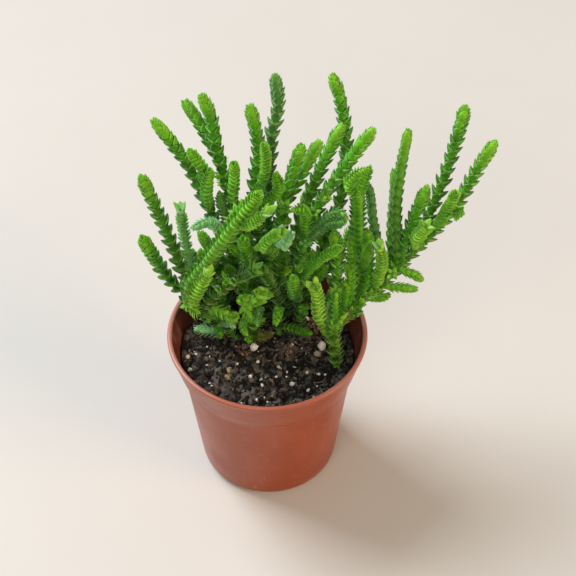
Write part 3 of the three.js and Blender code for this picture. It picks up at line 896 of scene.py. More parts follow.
    def age(self, shoot: Shoot, below: Array, height: Array) -> Array:
        """Ages of a shoot's leaves with painted shade added: 1 for a full-grown one, more where deep green
        paints shade.

        Leaves grow older with the distance from the growing point, half as fast on young, plump and short
        shoots. Those low in the crown, where shade falls, get painted shade on top, scaled down on lime and
        bloomy shoots. Shoots of a dusky or deep tone get painted shade of their own.

        Args:
            shoot: The shoot.
            below: Distances from the growing point.
            height: Heights above the table.

        Returns:
            One value for each leaf.
        """
        lime, bloom, _, deep = shoot.tone.value
        pace = 0.5 if shoot.growth in (YOUNG, PLUMP, SHORT) else 1
        # Painted shade: leaves low in the crown are pushed past full growth towards deep green.
        depth = np.clip((self.crown_top - height) / self.crown_depth, 0, 1)
        painted_crown_shade = self.crown_shade * depth * (1 - np.exp(-below / self.shade_reach))
        age = pace * np.clip(below / self.age_length, 0, 1) + (1 - max(lime, bloom)) * painted_crown_shade
        # Painted shade of a dusky or deep tone, setting in away from the growing point.
        return age + deep * np.clip(0.2 + below / self.shade_reach, 0, 1)

    def spread_star(self, rows: LeafRows, below: Array) -> None:
        """Lengthens and spreads the leaves round the growing point into a star.

        Args:
            rows: The shoot's leaves.
            below: Their distances from the growing point.
        """
        near = np.exp(-((below / self.star_reach) ** 2))
        rows.length = rows.length * (1 + self.star_length * near)
        rows.foot_angle = rows.foot_angle + self.star_foot_angle * near
        rows.tip_angle = rows.tip_angle + self.star_tip_angle * near

    def enlarge_ends(
        self, rows: LeafRows, ends: EndLeaves, size: float, rank: IntArray, draw: np.random.Generator
    ) -> None:
        """Makes the two pairs nearest the growing point large, and one or none of their ranks waxy.

        Args:
            rows: The shoot's leaves.
            ends: Sizes of the large leaves.
            size: Share of those sizes.
            rank: Number of each leaf's rank.
            draw: The stem's random draw.
        """
        pair = np.arange(len(rank)) // 2
        near = pair < 2
        play = draw.uniform(0.9, 1.1, len(rank))
        rows.length = np.where(near, (ends.length - ends.shorter * pair) * size * play, rows.length)
        rows.half_width = np.where(near, ends.half_width * size, rows.half_width)
        rows.thickness = np.where(near, ends.thickness * size, rows.thickness)
        rows.foot_angle = np.where(near, ends.foot_angle + ends.more_foot_angle * pair, rows.foot_angle)
        rows.tip_angle = np.where(near, ends.tip_angle + ends.more_tip_angle * pair, rows.tip_angle)
        rows.tone[near, 0] += ends.lighter
        rows.tone[near & (rank == draw.integers(4)), 1] = ends.bloom

    def leaves(self, shoot: Shoot, line: Line, draw: np.random.Generator) -> LeafRows:
        """Places and sizes of one shoot's leaves.

        Pairs are counted down from the growing point, and each pair is turned a quarter from the last. The
        leaves of the bud stand nearly upright, and below it they open to their full angles and sizes, as one
        less an exponential of the distance.

        Args:
            shoot: The shoot.
            line: Its line.
            draw: The stem's random draw.

        Returns:
            Two leaves for each pair.
        """
        habit = shoot.habit
        apex = line.length - self.bud_height
        usable = apex - (0 if shoot.root else min(self.bare_length, 0.1 * line.length))
        distances = self.pair_distances(habit, usable)
        pair = np.repeat(np.arange(len(distances)), 2)
        below = np.repeat(distances, 2)
        count = len(pair)
        station = apex - below + draw.normal(0, self.place_play, count)

        tangent, normal, binormal = line.frame(station)
        quarters = 90 * (pair % 2) + 180 * (np.arange(count) % 2)
        turn = np.radians(self.spin(shoot, line, draw) + quarters + draw.normal(0, self.rank_play, count))
        out = np.cos(turn)[:, None] * normal + np.sin(turn)[:, None] * binormal

        grown = 1 - (1 - self.bud_length_share) * np.exp(-below / self.lengthening)
        widened = 1 - (1 - self.bud_width_share) * np.exp(-below / self.widening)
        opened = 1 - np.exp(-below / habit.opening)
        swollen = np.exp(-(((below - self.club_place) / self.club_reach) ** 2))
        restless = self.angle_play + np.exp(-below / self.widening)
        length = habit.length * grown * draw.normal(1, self.size_play, count)
        foot_angle = self.bud_foot_angle + (habit.foot_angle - self.bud_foot_angle) * opened
        foot_angle = foot_angle + restless * draw.normal(0, 1, count)
        tip_angle = self.bud_tip_angle + (habit.tip_angle - self.bud_tip_angle) * opened
        tip_angle = tip_angle + restless * draw.normal(0, 1, count)
        width = habit.half_width * widened * draw.normal(1, self.width_play, count)
        thickened = self.bud_thickness_share + (1 - self.bud_thickness_share) * opened
        thickness = habit.thickness * thickened * draw.normal(1, self.size_play, count)
        base = habit.core * (self.bud_seat + self.seat_growth * opened) + habit.club * swollen

        rank = (pair % 2) + 2 * (np.arange(count) % 2)
        tone = np.tile(shoot.tone.value[:3], (count, 1))
        tone[:, 0] += draw.uniform(*self.lime_play, 4)[rank]
        if shoot.dry:
            share = station / line.length
            tone[:, 2] += self.dryness * ((share > shoot.dry[0]) & (share < shoot.dry[1]))
        place = line.at(station)
        rows = LeafRows(
            foot=place + base[:, None] * out,
            along=tangent,
            out=out,
            length=length,
            half_width=width,
            thickness=thickness,
            foot_angle=foot_angle,
            tip_angle=tip_angle,
            cup=np.full(count, habit.cup),
            age=self.age(shoot, below, place[:, 2]),
            tint=np.zeros(count),
            tone=tone,
        )
        if shoot.ending is TUFT:
            self.spread_star(rows, below)
        elif shoot.ending in END_LEAVES:
            size = 1 if line.length > self.long_shoot else self.small_end
            self.enlarge_ends(rows, END_LEAVES[shoot.ending], size, rank, draw)
        rows.tip_angle = np.minimum(rows.tip_angle, rows.foot_angle - self.least_bend)
        rows.tone = np.clip(rows.tone, 0, 1)
        rows.tint = draw.uniform(0, 1, count)
        return rows

    def core(self, shoot: Shoot, line: Line) -> Surface:
        """The fleshy stem that carries one shoot's leaves: a tube that narrows to the growing point.

        Its radius is steady and falls as the square root of what is left near the growing point. A rooted one
        begins with a straight foot in the soil.

        Args:
            shoot: The shoot.
            line: Its line.

        Returns:
            A closed tube, painted as the leaves are.
        """
        habit = shoot.habit
        apex = line.length - self.bud_height
        distance = np.linspace(0, apex, max(3, math.ceil(apex / self.core_step)))
        places = line.at(distance)
        _, normal, binormal = line.frame(distance)
        radius = habit.core * np.clip((apex - distance) / self.core_taper, self.core_end, 1) ** 0.5
        if shoot.root:
            places = np.vstack([[*shoot.root, FOOT_Z], places])
            normal, binormal = np.vstack([normal[:1], normal]), np.vstack([binormal[:1], binormal])
            radius, distance = np.append(radius[0], radius), np.append(0, distance)
        cosine, sine = circle(self.core_sides)
        ring = cosine[:, None] * normal[:, None] + sine[:, None] * binormal[:, None]
        points = (places[:, None] + radius[:, None, None] * ring).reshape(-1, 3)
        faces = tube_faces(len(places), self.core_sides)
        age = np.repeat(np.clip((apex - distance) / self.age_length, 0, 1), self.core_sides)
        flat = np.full(len(points), 0.5)
        lime, bloom, olive, deep = shoot.tone.value
        # The core's third channel also takes its tone's painted shade.
        leaf = np.stack([0 * flat, 0 * flat, age + deep, flat], -1)
        tone = np.stack([lime + 0 * flat, bloom + 0 * flat, olive + 0 * flat, 0 * flat], -1)
        return Surface(points, faces, {"leaf": leaf, "shoot": tone})

    def build(self, finish: bpy.types.Material) -> bpy.types.Object:
        """Builds the stem's mesh in place of its solid.

        Args:
            finish: The leaves' skin.

        Returns:
            The stem with all its leaves.
        """
        draw = np.random.default_rng([SEED, self.number])
        shoots = [*self.shoots, *self.sprouts(self.lines(self.shoots), draw)]
        lines = self.lines(shoots)
        rows = LeafRows.joined([self.leaves(shoot, line, draw) for shoot, line in zip(shoots, lines)])
        cores = [self.core(shoot, line) for shoot, line in zip(shoots, lines)]
        whole = Surface.joined([self.shape.surface(rows), *cores])
        return whole.piece(f"leafy_{self.name}", finish, "leafy_stem", self.name)


@dataclass
class NurseryPot:
    """The moulded plastic pot: a tapered body, a deep collar, a rounded lip and a pierced base."""

    rim_radius: float = 27.5
    height: float = 50.0
    base_radius: float = 19.5
    base_rounding: float = 2.5
    collar_height: float = 11.5
    collar_foot_radius: float = 24.6
    collar_step: float = 0.8
    wall: float = 1.0
    lip_width: float = 1.4
    shoulder: float = 1.6
    floor: float = 1.2
    sides: int = 192
    drain_holes: int = 6
    drain_radius: float = 2.0
    drain_circle: float = 12.5
    drain_sides: int = 24

    @property
    def collar_foot(self) -> float:
        """Height of the collar's foot."""
        return self.height - self.collar_height

    def body_radius(self, z: float) -> float:
        """Outer radius of the tapered body at a height."""
        top = self.collar_foot_radius - self.collar_step
        return self.base_radius + (top - self.base_radius) * z / self.collar_foot

    def collar_radius(self, z: float) -> float:
        """Outer radius of the collar at a height."""
        rise = (z - self.collar_foot) / self.collar_height
        return self.collar_foot_radius + (self.rim_radius - self.collar_foot_radius) * rise

    @staticmethod
    def _bend(start: tuple[float, float], corner: tuple[float, float], end: tuple[float, float]) -> Array:
        """Points of a round corner: the parabola that leaves the first leg and joins the second smoothly."""
        t = np.linspace(0, 1, 7)[:, None]
        return (1 - t) ** 2 * np.array(start) + 2 * t * (1 - t) * np.array(corner) + t**2 * np.array(end)

    def _outside(self) -> list[Array]:
        """The outline's outer stretches.

        Returns:
            Rows of radius and height, from the middle of the underside to the top of the lip.
        """
        foot, top, lip, rim = self.collar_foot, self.height, self.lip_width / 2, self.rim_radius
        low, high = foot - self.shoulder, foot + self.shoulder
        flat, rounding = self.base_radius - self.base_rounding, self.base_rounding
        body_top = self.body_radius(foot)
        ledge = body_top + self.collar_step / 2
        return [
            np.array([[0, 0], [flat / 3, 0], [flat * 2 / 3, 0], [flat - 0.4, 0]]),
            self._bend((flat, 0), (self.base_radius, 0), (self.body_radius(rounding), rounding)),
            np.array([[self.body_radius(z), z] for z in np.linspace(4, low - 1, 16)]),
            self._bend((self.body_radius(low), low), (body_top, foot - 0.5), (ledge, foot - 0.1)),
            self._bend(
                (ledge + 0.05, foot), (self.collar_foot_radius, foot + 0.4), (self.collar_radius(high), high)
            ),
            np.array([[self.collar_radius(z), z] for z in np.linspace(high + 0.8, top - lip - 0.5, 8)]),
            self._bend((rim - 0.02, top - lip), (rim, top), (rim - lip, top)),
        ]

    def _inside(self) -> list[Array]:
        """The outline's inner stretches.

        Returns:
            Rows of radius and height, from the top of the lip to the middle of the floor.
        """
        foot, top, lip, floor = self.collar_foot, self.height, self.lip_width / 2, self.floor
        flat, inner = self.base_radius - self.base_rounding, self.rim_radius - self.lip_width
        neck = self.body_radius(foot) - self.wall
        return [
            self._bend((inner + lip - 0.01, top), (inner, top), (inner, top - lip)),
            np.array([[inner - 0.09 * (top - lip - z), z] for z in (top - 1.4, top - 2.4)]),
            np.array([[self.collar_radius(z) - self.wall, z] for z in np.linspace(top - 4, foot, 6)]),
            self._bend((neck + 0.3, foot - 0.6), (neck, foot - 1), (neck - 0.05, foot - 1.8)),
            np.array([[self.body_radius(z) - self.wall, z] for z in np.linspace(foot - 3, floor + 2, 12)]),
            np.array([[flat, floor], [flat * 2 / 3, floor], [0, floor]]),
        ]

    def turned(self) -> Surface:
        """The outline carried round the pot's axis.

        Returns:
            The pot, closed at the outline's two ends on the axis.
        """
        outline = np.vstack([*self._outside(), *self._inside()])
        cosine, sine = circle(self.sides)
        radius, height = outline[1:-1, 0:1], outline[1:-1, 1:2]
        rings = np.stack([radius * cosine, radius * sine, height + 0 * sine], -1)
        points = np.vstack([rings.reshape(-1, 3), [0, 0, outline[0, 1]], [0, 0, outline[-1, 1]]])
        return Surface(points, globe_faces(len(outline) - 2, self.sides))

    def drill(self, pot: bpy.types.Object) -> None:
        """Cuts the drainage holes, evenly round the base.

        Args:
            pot: The pot's object.
        """
        centres = self.drain_circle * np.stack(circle(self.drain_holes), -1)
        rim = self.drain_radius * np.stack(circle(self.drain_sides), -1)
        rings = centres[:, None, None] + rim[None, None] + np.zeros((1, 2, 1, 1))
        heights = np.broadcast_to(np.array([-1.0, 3.0])[None, :, None, None], (*rings.shape[:3], 1))
        points = np.concatenate([rings, heights], axis=-1).reshape(-1, 3)
        one = tube_faces(2, self.drain_sides)
        faces = [repeated(face, self.drain_holes, 2 * self.drain_sides) for face in one]
        mesh = bpy.data.meshes.new("drill")
        mesh.from_pydata((points * MM).tolist(), [], [row.tolist() for face in faces for row in face])
        drill = put("drill", mesh)
        cut = pot.modifiers.new("drainage", "BOOLEAN")
        cut.object, cut.operation, cut.solver = drill, "DIFFERENCE", "EXACT"
        shaped = bpy.data.meshes.new_from_object(pot.evaluated_get(bpy.context.evaluated_depsgraph_get()))
        pot.modifiers.clear()
        pot.data = shaped
        bpy.data.objects.remove(drill)

    def build(self, finish: bpy.types.Material) -> bpy.types.Object:
        """Builds the pot in place of its solid.

        Args:
            finish: Its plastic.

        Returns:
            The pot.
        """
        pot = self.turned().piece("moulded_pot", finish, "pot_plastic", "pot")
        self.drill(pot)
        return pot


@dataclass
class PottingSoil:
    """The bed of peaty potting soil, and where its larger grains and pebbles lie.

    Each ring of its side is a radius and a height. Each step of the relief is the height, the cell and the
    seed of one noise. Each grain and pebble is its place to the right, its place to the back and its radius.
    """

    level: float = 41.8
    top_radius: float = 23.9
    side_rings: tuple[tuple[float, float], ...] = ((16.6, 1.55), (17.9, 2.55), (22.2, 37.1), (23.9, 40.6))
    wave_height: float = 0.2
    wave_pace: float = 0.22
    calm_reach: float = 1.5
    least_calm: float = 0.4
    stain_cell: float = 1.6
    rings: int = 90
    sides: int = 320
    relief: tuple[tuple[float, float, int], ...] = ((1.1, 2.6, 1), (0.7, 1.3, 2), (0.32, 0.6, 3))
    grains: tuple[tuple[float, float, float], ...] = (
        (-3.8, 1.2, 1.5),
        (3.2, -6.0, 0.95),
        (-8.7, -4.5, 0.5),
        (-2.6, -5.6, 0.5),
        (-4.7, -10.9, 0.65),
        (-1.7, -10.2, 0.5),
        (6.7, -11.6, 0.7),
        (11.3, -14.4, 0.8),
        (10.9, -8.1, 0.55),
        (14.1, -10.2, 0.45),
        (7.6, -5.3, 0.4),
        (5.4, -7.8, 0.4),
        (7.6, -9.5, 0.5),
        (-2.7, -18.6, 0.55),
        (11.0, 10.6, 0.9),
        (15.1, 0.5, 1.45),
        (-22.2, -2.5, 0.85),
        (-21.2, -7.0, 0.8),
    )
    pebbles: tuple[tuple[float, float, float], ...] = (
        (-10.5, -7.8, 1.1),
        (-11.0, -9.9, 0.95),
        (12.6, 9.6, 0.8),
        (14.4, 8.2, 0.9),
        (13.7, -1.7, 1.2),
    )

    def height(self, x: Array, y: Array) -> Array:
        """Height of the bed: two slow waves, and clods, crumbs and grit as three sizes of noise.

        Args:
            x: Places to the right.
            y: Places to the back.

        Returns:
            Heights, whose noise calms down towards the wall.
        """
        places = np.stack([x, y, 0 * x], -1)
        slow = self.wave_height * (np.sin(self.wave_pace * (x + y)) + np.cos(self.wave_pace * (y - x)))
        rough = sum(size * value_noise(places, cell, seed) for size, cell, seed in self.relief)
        calm = np.clip((self.top_radius - np.hypot(x, y)) / self.calm_reach, self.least_calm, 1)
        return self.level + slow + calm * rough

    def bed(self) -> Surface:
        """The bed: a round top carried over polar rings, a tapered side and a flat underside.

        Returns:
            The closed bed, its "tint" painted by noise.
        """
        share = np.linspace(0, 1, self.rings + 1)[1:]
        cosine, sine = circle(self.sides)
        radius = self.top_radius * share[::-1, None]
        x, y = radius * cosine, radius * sine
        top = np.stack([x, y, self.height(x.ravel(), y.ravel()).reshape(x.shape)], -1)
        skirt = np.stack([np.stack([r * cosine, r * sine, z + 0 * sine], -1) for r, z in self.side_rings])
        poles = [[0, 0, self.side_rings[0][1]], [0, 0, top[-1, 0, 2]]]
        points = np.vstack([skirt.reshape(-1, 3), top.reshape(-1, 3), poles])
        tint = np.clip(0.25 + 1.4 * value_noise(points, self.stain_cell, 4), 0, 1)
        return Surface(points, globe_faces(len(self.side_rings) + self.rings, self.sides), greys(tint))


def lumps(centres: Array, sizes: Array, roughness: float, seed: int) -> Surface:
    """Many small irregular lumps.

    Each is a globe of four rings between two poles, stretched to its three sizes and turned at random. The
    distance of each point from the middle varies by noise that is read at a place of the lump's own.

    Args:
        centres: Middles, as rows of three coordinates.
        sizes: Half sizes along the lump's own three axes.
        roughness: Share by which the noise moves a point.
        seed: Number of the draw.

    Returns:
        Closed lumps, their "tint" painted as one grey for each.
    """
    draw = np.random.default_rng([SEED, seed])
    count, sides = len(centres), 7
    latitude = np.radians([-54, -18, 18, 54])
    cosine, sine = circle(sides)
    level = np.cos(latitude)[:, None]
    globe = np.stack([level * cosine, level * sine, np.sin(latitude)[:, None] + 0 * sine], -1).reshape(-1, 3)
    globe = np.vstack([globe, [0, 0, -1], [0, 0, 1]])
    own = draw.uniform(0, 200, (count, 1, 3))
    bulge = 1 + roughness * value_noise((globe[None] * 1.3 + own).reshape(-1, 3), 1.0, seed)
    local = globe[None] * bulge.reshape(count, len(globe), 1) * sizes[:, None]
    one = unit(draw.normal(size=(count, 3)))
    two = unit(np.cross(one, draw.normal(size=(count, 3))))
    axes = np.stack([one, two, np.cross(one, two)], axis=1)
    points = (centres[:, None] + local @ axes).reshape(-1, 3)
    tint = np.repeat(draw.uniform(0, 1, count), len(globe))
    faces = [repeated(face, count, len(globe)) for face in globe_faces(len(latitude), sides)]
    return Surface(points, faces, greys(tint))


def fibres(starts: Array, ends: Array, radius: Array, waviness: float, seed: int) -> Surface:
    """Many thin fibres, each a tapered tube along a wavy line.

    The line runs straight from start to end, and two sine waves of drawn phase move it sideways and up,
    fading at both ends.

    Args:
        starts: First points.
        ends: Last points.
        radius: Thickness of each at its middle.
        waviness: Greatest sideways move, as a share of the length.
        seed: Number of the draw.

    Returns:
        Closed fibres, their "tint" painted as one grey for each.
    """
    draw = np.random.default_rng([SEED, seed])
    count, stations, sides = len(starts), 12, 5
    share = np.linspace(0, 1, stations)
    course = ends - starts
    length = np.linalg.norm(course, axis=1, keepdims=True)
    heading = course / length
    sideways = unit(np.cross(heading, [0.1, 0.2, 1]))
    upwards = np.cross(sideways, heading)
    fade = np.sin(np.pi * share)
    phase = draw.uniform(0, 2 * np.pi, (count, 2, 1))
    pace = draw.uniform(2, 7, (count, 2, 1))
    wave = np.sin(pace * share + phase) * fade * waviness * length[..., None]
    middle = starts[:, None] + share[None, :, None] * course[:, None]
    middle = middle + wave[:, 0, :, None] * sideways[:, None] + 0.35 * wave[:, 1, :, None] * upwards[:, None]
    cosine, sine = circle(sides)
    ring = cosine[:, None] * sideways[:, None] + sine[:, None] * upwards[:, None]
    thick = radius[:, None] * (0.35 + 0.65 * np.sin(np.pi * share))
    points = (middle[:, :, None] + thick[..., None, None] * ring[:, None]).reshape(-1, 3)
    per_fibre = stations * sides
    tint = np.repeat(draw.uniform(0, 1, count), per_fibre)
    faces = [repeated(face, count, per_fibre) for face in tube_faces(stations, sides)]
    return Surface(points, faces, greys(tint))


def linear(colour: Colour) -> tuple[float, float, float, float]:
    """A colour in the renderer's linear light.

    Args:
        colour: Red, green and blue of 0 to 255, as the eye sees them.

    Returns:
        Red, green, blue and full alpha.
    """
    share = np.array(colour) / 255
    light = np.where(share <= 0.04045, share / 12.92, ((share + 0.055) / 1.055) ** 2.4)
    return (*light.tolist(), 1.0)


Feed = bpy.types.NodeSocket | float | tuple[float, ...]


class Graph:
    """Adds and links the nodes of one tree."""

    def __init__(self, tree: bpy.types.NodeTree) -> None:
        """Takes the tree that the nodes go into."""
        self.tree = tree

    def node(
        self, kind: str, feeds: dict[str | int, Feed] | None = None, **settings: object
    ) -> bpy.types.Node:
        """Adds a node.

        Args:
            kind: Its type.
            feeds: Values or other nodes' outputs for its input sockets.
            **settings: Values of its own properties.

        Returns:
            The node.
        """
        made = self.tree.nodes.new(kind)
        for name, value in settings.items():
            setattr(made, name, value)
        for name, value in (feeds or {}).items():
            self.feed(made.inputs[name], value)
        return made

    def feed(self, socket: bpy.types.NodeSocket, value: Feed) -> None:
        """Links an output to a socket, or sets the socket's own value.

        Args:
            socket: The input socket.
            value: The output, number or colour.
        """
        if isinstance(value, bpy.types.NodeSocket):
            self.tree.links.new(value, socket)
        else:
            socket.default_value = value

    def math(self, operation: str, one: Feed, two: Feed = 0.0) -> bpy.types.NodeSocket:
        """One step of arithmetic."""
        return self.node("ShaderNodeMath", {0: one, 1: two}, operation=operation).outputs[0]

    def times(self, one: Feed, two: Feed) -> bpy.types.NodeSocket:
        """The product of two values."""
        return self.math("MULTIPLY", one, two)

    def mix(self, share: Feed, one: Feed, two: Feed) -> bpy.types.NodeSocket:
        """One colour laid over another."""
        return self.node("ShaderNodeMix", {0: share, 6: one, 7: two}, data_type="RGBA").outputs[2]

    def layered(self, ground: Colour, layers: list[tuple[Feed, Colour]]) -> Feed:
        """Colours laid over each other in turn.

        Args:
            ground: The first colour.
            layers: The share and the colour of each layer.

        Returns:
            The last mix.
        """
        colour = linear(ground)
        for share, over in layers:
            colour = self.mix(share, colour, linear(over))
        return colour

    def rise(
        self, value: Feed, low: float, high: float, to_low: float = 0, to_high: float = 1
    ) -> bpy.types.NodeSocket:
        """A smooth change from one value to another, between two levels of a third."""
        feeds = {"Value": value, "From Min": low, "From Max": high, "To Min": to_low, "To Max": to_high}
        return self.node("ShaderNodeMapRange", feeds, interpolation_type="SMOOTHSTEP").outputs[0]

    def noise(self, scale: Feed, detail: float = 3, place: Feed | None = None) -> bpy.types.NodeSocket:
        """Noise over a place.

        Args:
            scale: Cells to a unit of the place.
            detail: Octaves.
            place: What it runs over, or the object's own coordinates, in metres.

        Returns:
            The noise, between 0 and 1.
        """
        place = place or self.node("ShaderNodeTexCoord").outputs["Object"]
        feeds = {"Vector": place, "Scale": scale, "Detail": detail, "Roughness": 0.6}
        return self.node("ShaderNodeTexNoise", feeds).outputs["Fac"]

    def scaled(self, place: Feed, across: float, up: float) -> bpy.types.NodeSocket:
        """A place stretched by one scale across and another one upwards."""
        return self.node("ShaderNodeMapping", {"Vector": place, "Scale": (across, across, up)}).outputs[0]

    def bump(self, strength: float, depth: float, height: Feed) -> bpy.types.NodeSocket:
        """Normals of a relief whose depth is in metres."""
        feeds = {"Strength": strength, "Distance": depth, "Height": height}
        return self.node("ShaderNodeBump", feeds).outputs[0]

    def painted(self, name: str) -> list[bpy.types.NodeSocket]:
        """The four values painted on the points.

        Args:
            name: The paint's name.

        Returns:
            Red, green, blue and alpha.
        """
        read = self.node("ShaderNodeAttribute", attribute_name=name)
        parts = self.node("ShaderNodeSeparateColor", {0: read.outputs["Color"]})
        return [*parts.outputs, read.outputs["Alpha"]]

    def mottle(self, scale: float, low: float, high: float) -> bpy.types.Node:
        """Patches: Scale sets their size, Mask rises between Low and High, and Height is the noise."""
        feeds = {"Scale": scale, "Low": low, "High": high}
        return self.node("ShaderNodeGroup", feeds, node_tree=mottle_group())


def mottle_group() -> bpy.types.NodeTree:
    """The patches that leaves, plastic, soil and grains share.

    Returns:
        The node group, built once.
    """
    group = bpy.data.node_groups.get("mottle")
    if group:
        return group
    group = bpy.data.node_groups.new("mottle", "ShaderNodeTree")
    for name in ("Scale", "Low", "High"):
        group.interface.new_socket(name=name, in_out="INPUT", socket_type="NodeSocketFloat")
    for name in ("Mask", "Height"):
        group.interface.new_socket(name=name, in_out="OUTPUT", socket_type="NodeSocketFloat")
    graph = Graph(group)
    given = graph.node("NodeGroupInput")
    result = graph.node("NodeGroupOutput")
    noise = graph.noise(given.outputs["Scale"], detail=4)
    feeds = {"Value": noise, "From Min": given.outputs["Low"], "From Max": given.outputs["High"]}
    mask = graph.node("ShaderNodeMapRange", feeds, interpolation_type="SMOOTHSTEP").outputs[0]
    graph.feed(result.inputs["Mask"], mask)
    graph.feed(result.inputs["Height"], noise)
    return group


def set_sockets(shader: bpy.types.Node, values: dict[str, Feed]) -> None:
    """Sets values on a shader's own sockets.

    Args:
        shader: The shader.
        values: Socket names and their values.
    """
    for name, value in values.items():
        shader.inputs[name].default_value = value


def new_material(name: str) -> tuple[bpy.types.Material, Graph, bpy.types.Node]:
    """A material with its surface shader.

    Args:
        name: The material's name.

    Returns:
        The material, its graph and its shader.
    """
    material = bpy.data.materials.new(name)
    material.use_nodes = True
    return material, Graph(material.node_tree), material.node_tree.nodes["Principled BSDF"]


@dataclass(frozen=True)
class LeafFinish:
    """Waxy skin of the scale leaves and of the stems between them."""

    # Shade paints deep green shade and darkens each face's tip. Fresh also paints the keel's highlight, and
    # margin, axil and bloom in part paint rim highlights, light in the creases and the sky's sheen.
    shade: Colour = (10, 52, 2)
    aged: Colour = (40, 116, 4)
    grown: Colour = (62, 158, 5)
    fresh: Colour = (116, 190, 14)
    lime: Colour = (180, 232, 72)
    margin: Colour = (190, 228, 160)
    tip: Colour = (104, 92, 44)
    bloom: Colour = (170, 224, 188)
    axil: Colour = (110, 172, 62)
    olive: Colour = (128, 112, 50)

    def material(self) -> bpy.types.Material:
        """Builds the skin.

        New leaves are light and old ones darker green. Leaves low in the crown and shoots of a dusky or deep
        tone take painted shade, deep green. Each face darkens towards its tip. The foot is paler, a waxy
        paleness that also paints light into the shaded creases, and the keel carries a painted highlight.
        Margins are pale, partly their own colour and partly a painted rim highlight, and the tips of grown
        leaves brownish. Pale wax lies on bloomy shoots and on the inner faces, where it also paints a sheen
        of the sky.

        Returns:
            The material.
        """
        made, graph, shader = new_material("leaf_skin")
        rise, times = graph.rise, graph.times
        along, margin, age, tint = graph.painted("leaf")
        lime, bloom, olive, inside = graph.painted("shoot")
        # Painted highlight: a lighter stripe of fresh green along each leaf's keel.
        keel_highlight = times(rise(margin, 0.4, 0.0), 0.3)
        face = times(rise(along, 0.25, 0.75), rise(age, 0.05, 0.5, 0.0, 0.5))
        # Pale foot: a waxy paleness that also paints light into the shaded crease at each leaf's foot.
        foot = times(rise(along, 0.5, 0.05), rise(age, 1.6, 0.9, 0.1, 0.6))
        # Pale margins: partly their own colour, partly a painted rim highlight.
        pale_margin_and_highlight = times(rise(margin, 0.74, 1.0), rise(along, 1.0, 0.75, 0.0, 0.38))
        withered = times(rise(along, 0.8, 1.0), rise(age, 0.1, 0.5, 0.0, 0.7))
        # Pale wax on the inner faces, more on bloomy shoots; it also paints the sky's sheen there.
        wax_and_sheen = times(inside, rise(bloom, 0, 1, 0.07, 0.8))
        layers = [
            (rise(age, 0.0, 0.35), self.grown),
            (rise(age, 0.3, 1.0), self.aged),
            # Painted shade: values past full growth turn deep green.
            (rise(age, 1.0, 2.2), self.shade),
            (lime, self.lime),
            (olive, self.olive),
            (keel_highlight, self.fresh),
            (face, self.shade),
            (foot, self.axil),
            (pale_margin_and_highlight, self.margin),
            (withered, self.tip),
            (graph.math("MAXIMUM", wax_and_sheen, times(bloom, 0.5)), self.bloom),
        ]
        colour = graph.layered(self.fresh, layers)
        patches = graph.mottle(900, 0.35, 0.7).outputs["Mask"]
        # Each leaf's own brightness, drawn at random and varied a little in patches.
        shade = graph.math("ADD", rise(tint, 0, 1, 0.8, 1.15), rise(patches, 0, 1, -0.06, 0.06))
        colour = graph.node("ShaderNodeHueSaturation", {"Color": colour, "Value": shade}).outputs[0]
        graph.feed(shader.inputs["Base Color"], colour)
        graph.feed(shader.inputs["Roughness"], rise(patches, 0, 1, 0.3, 0.42))
        cells = graph.mottle(5200, 0.3, 0.7).outputs["Height"]
        graph.feed(shader.inputs["Normal"], graph.bump(0.35, 0.00012, cells))
        set_sockets(
            shader,
            {
                "Specular IOR Level": 0.24,
                "Subsurface Weight": 0.2,
                "Subsurface Radius": (0.6, 1.0, 0.25),
                "Subsurface Scale": 0.0009,
            },
        )
        return made


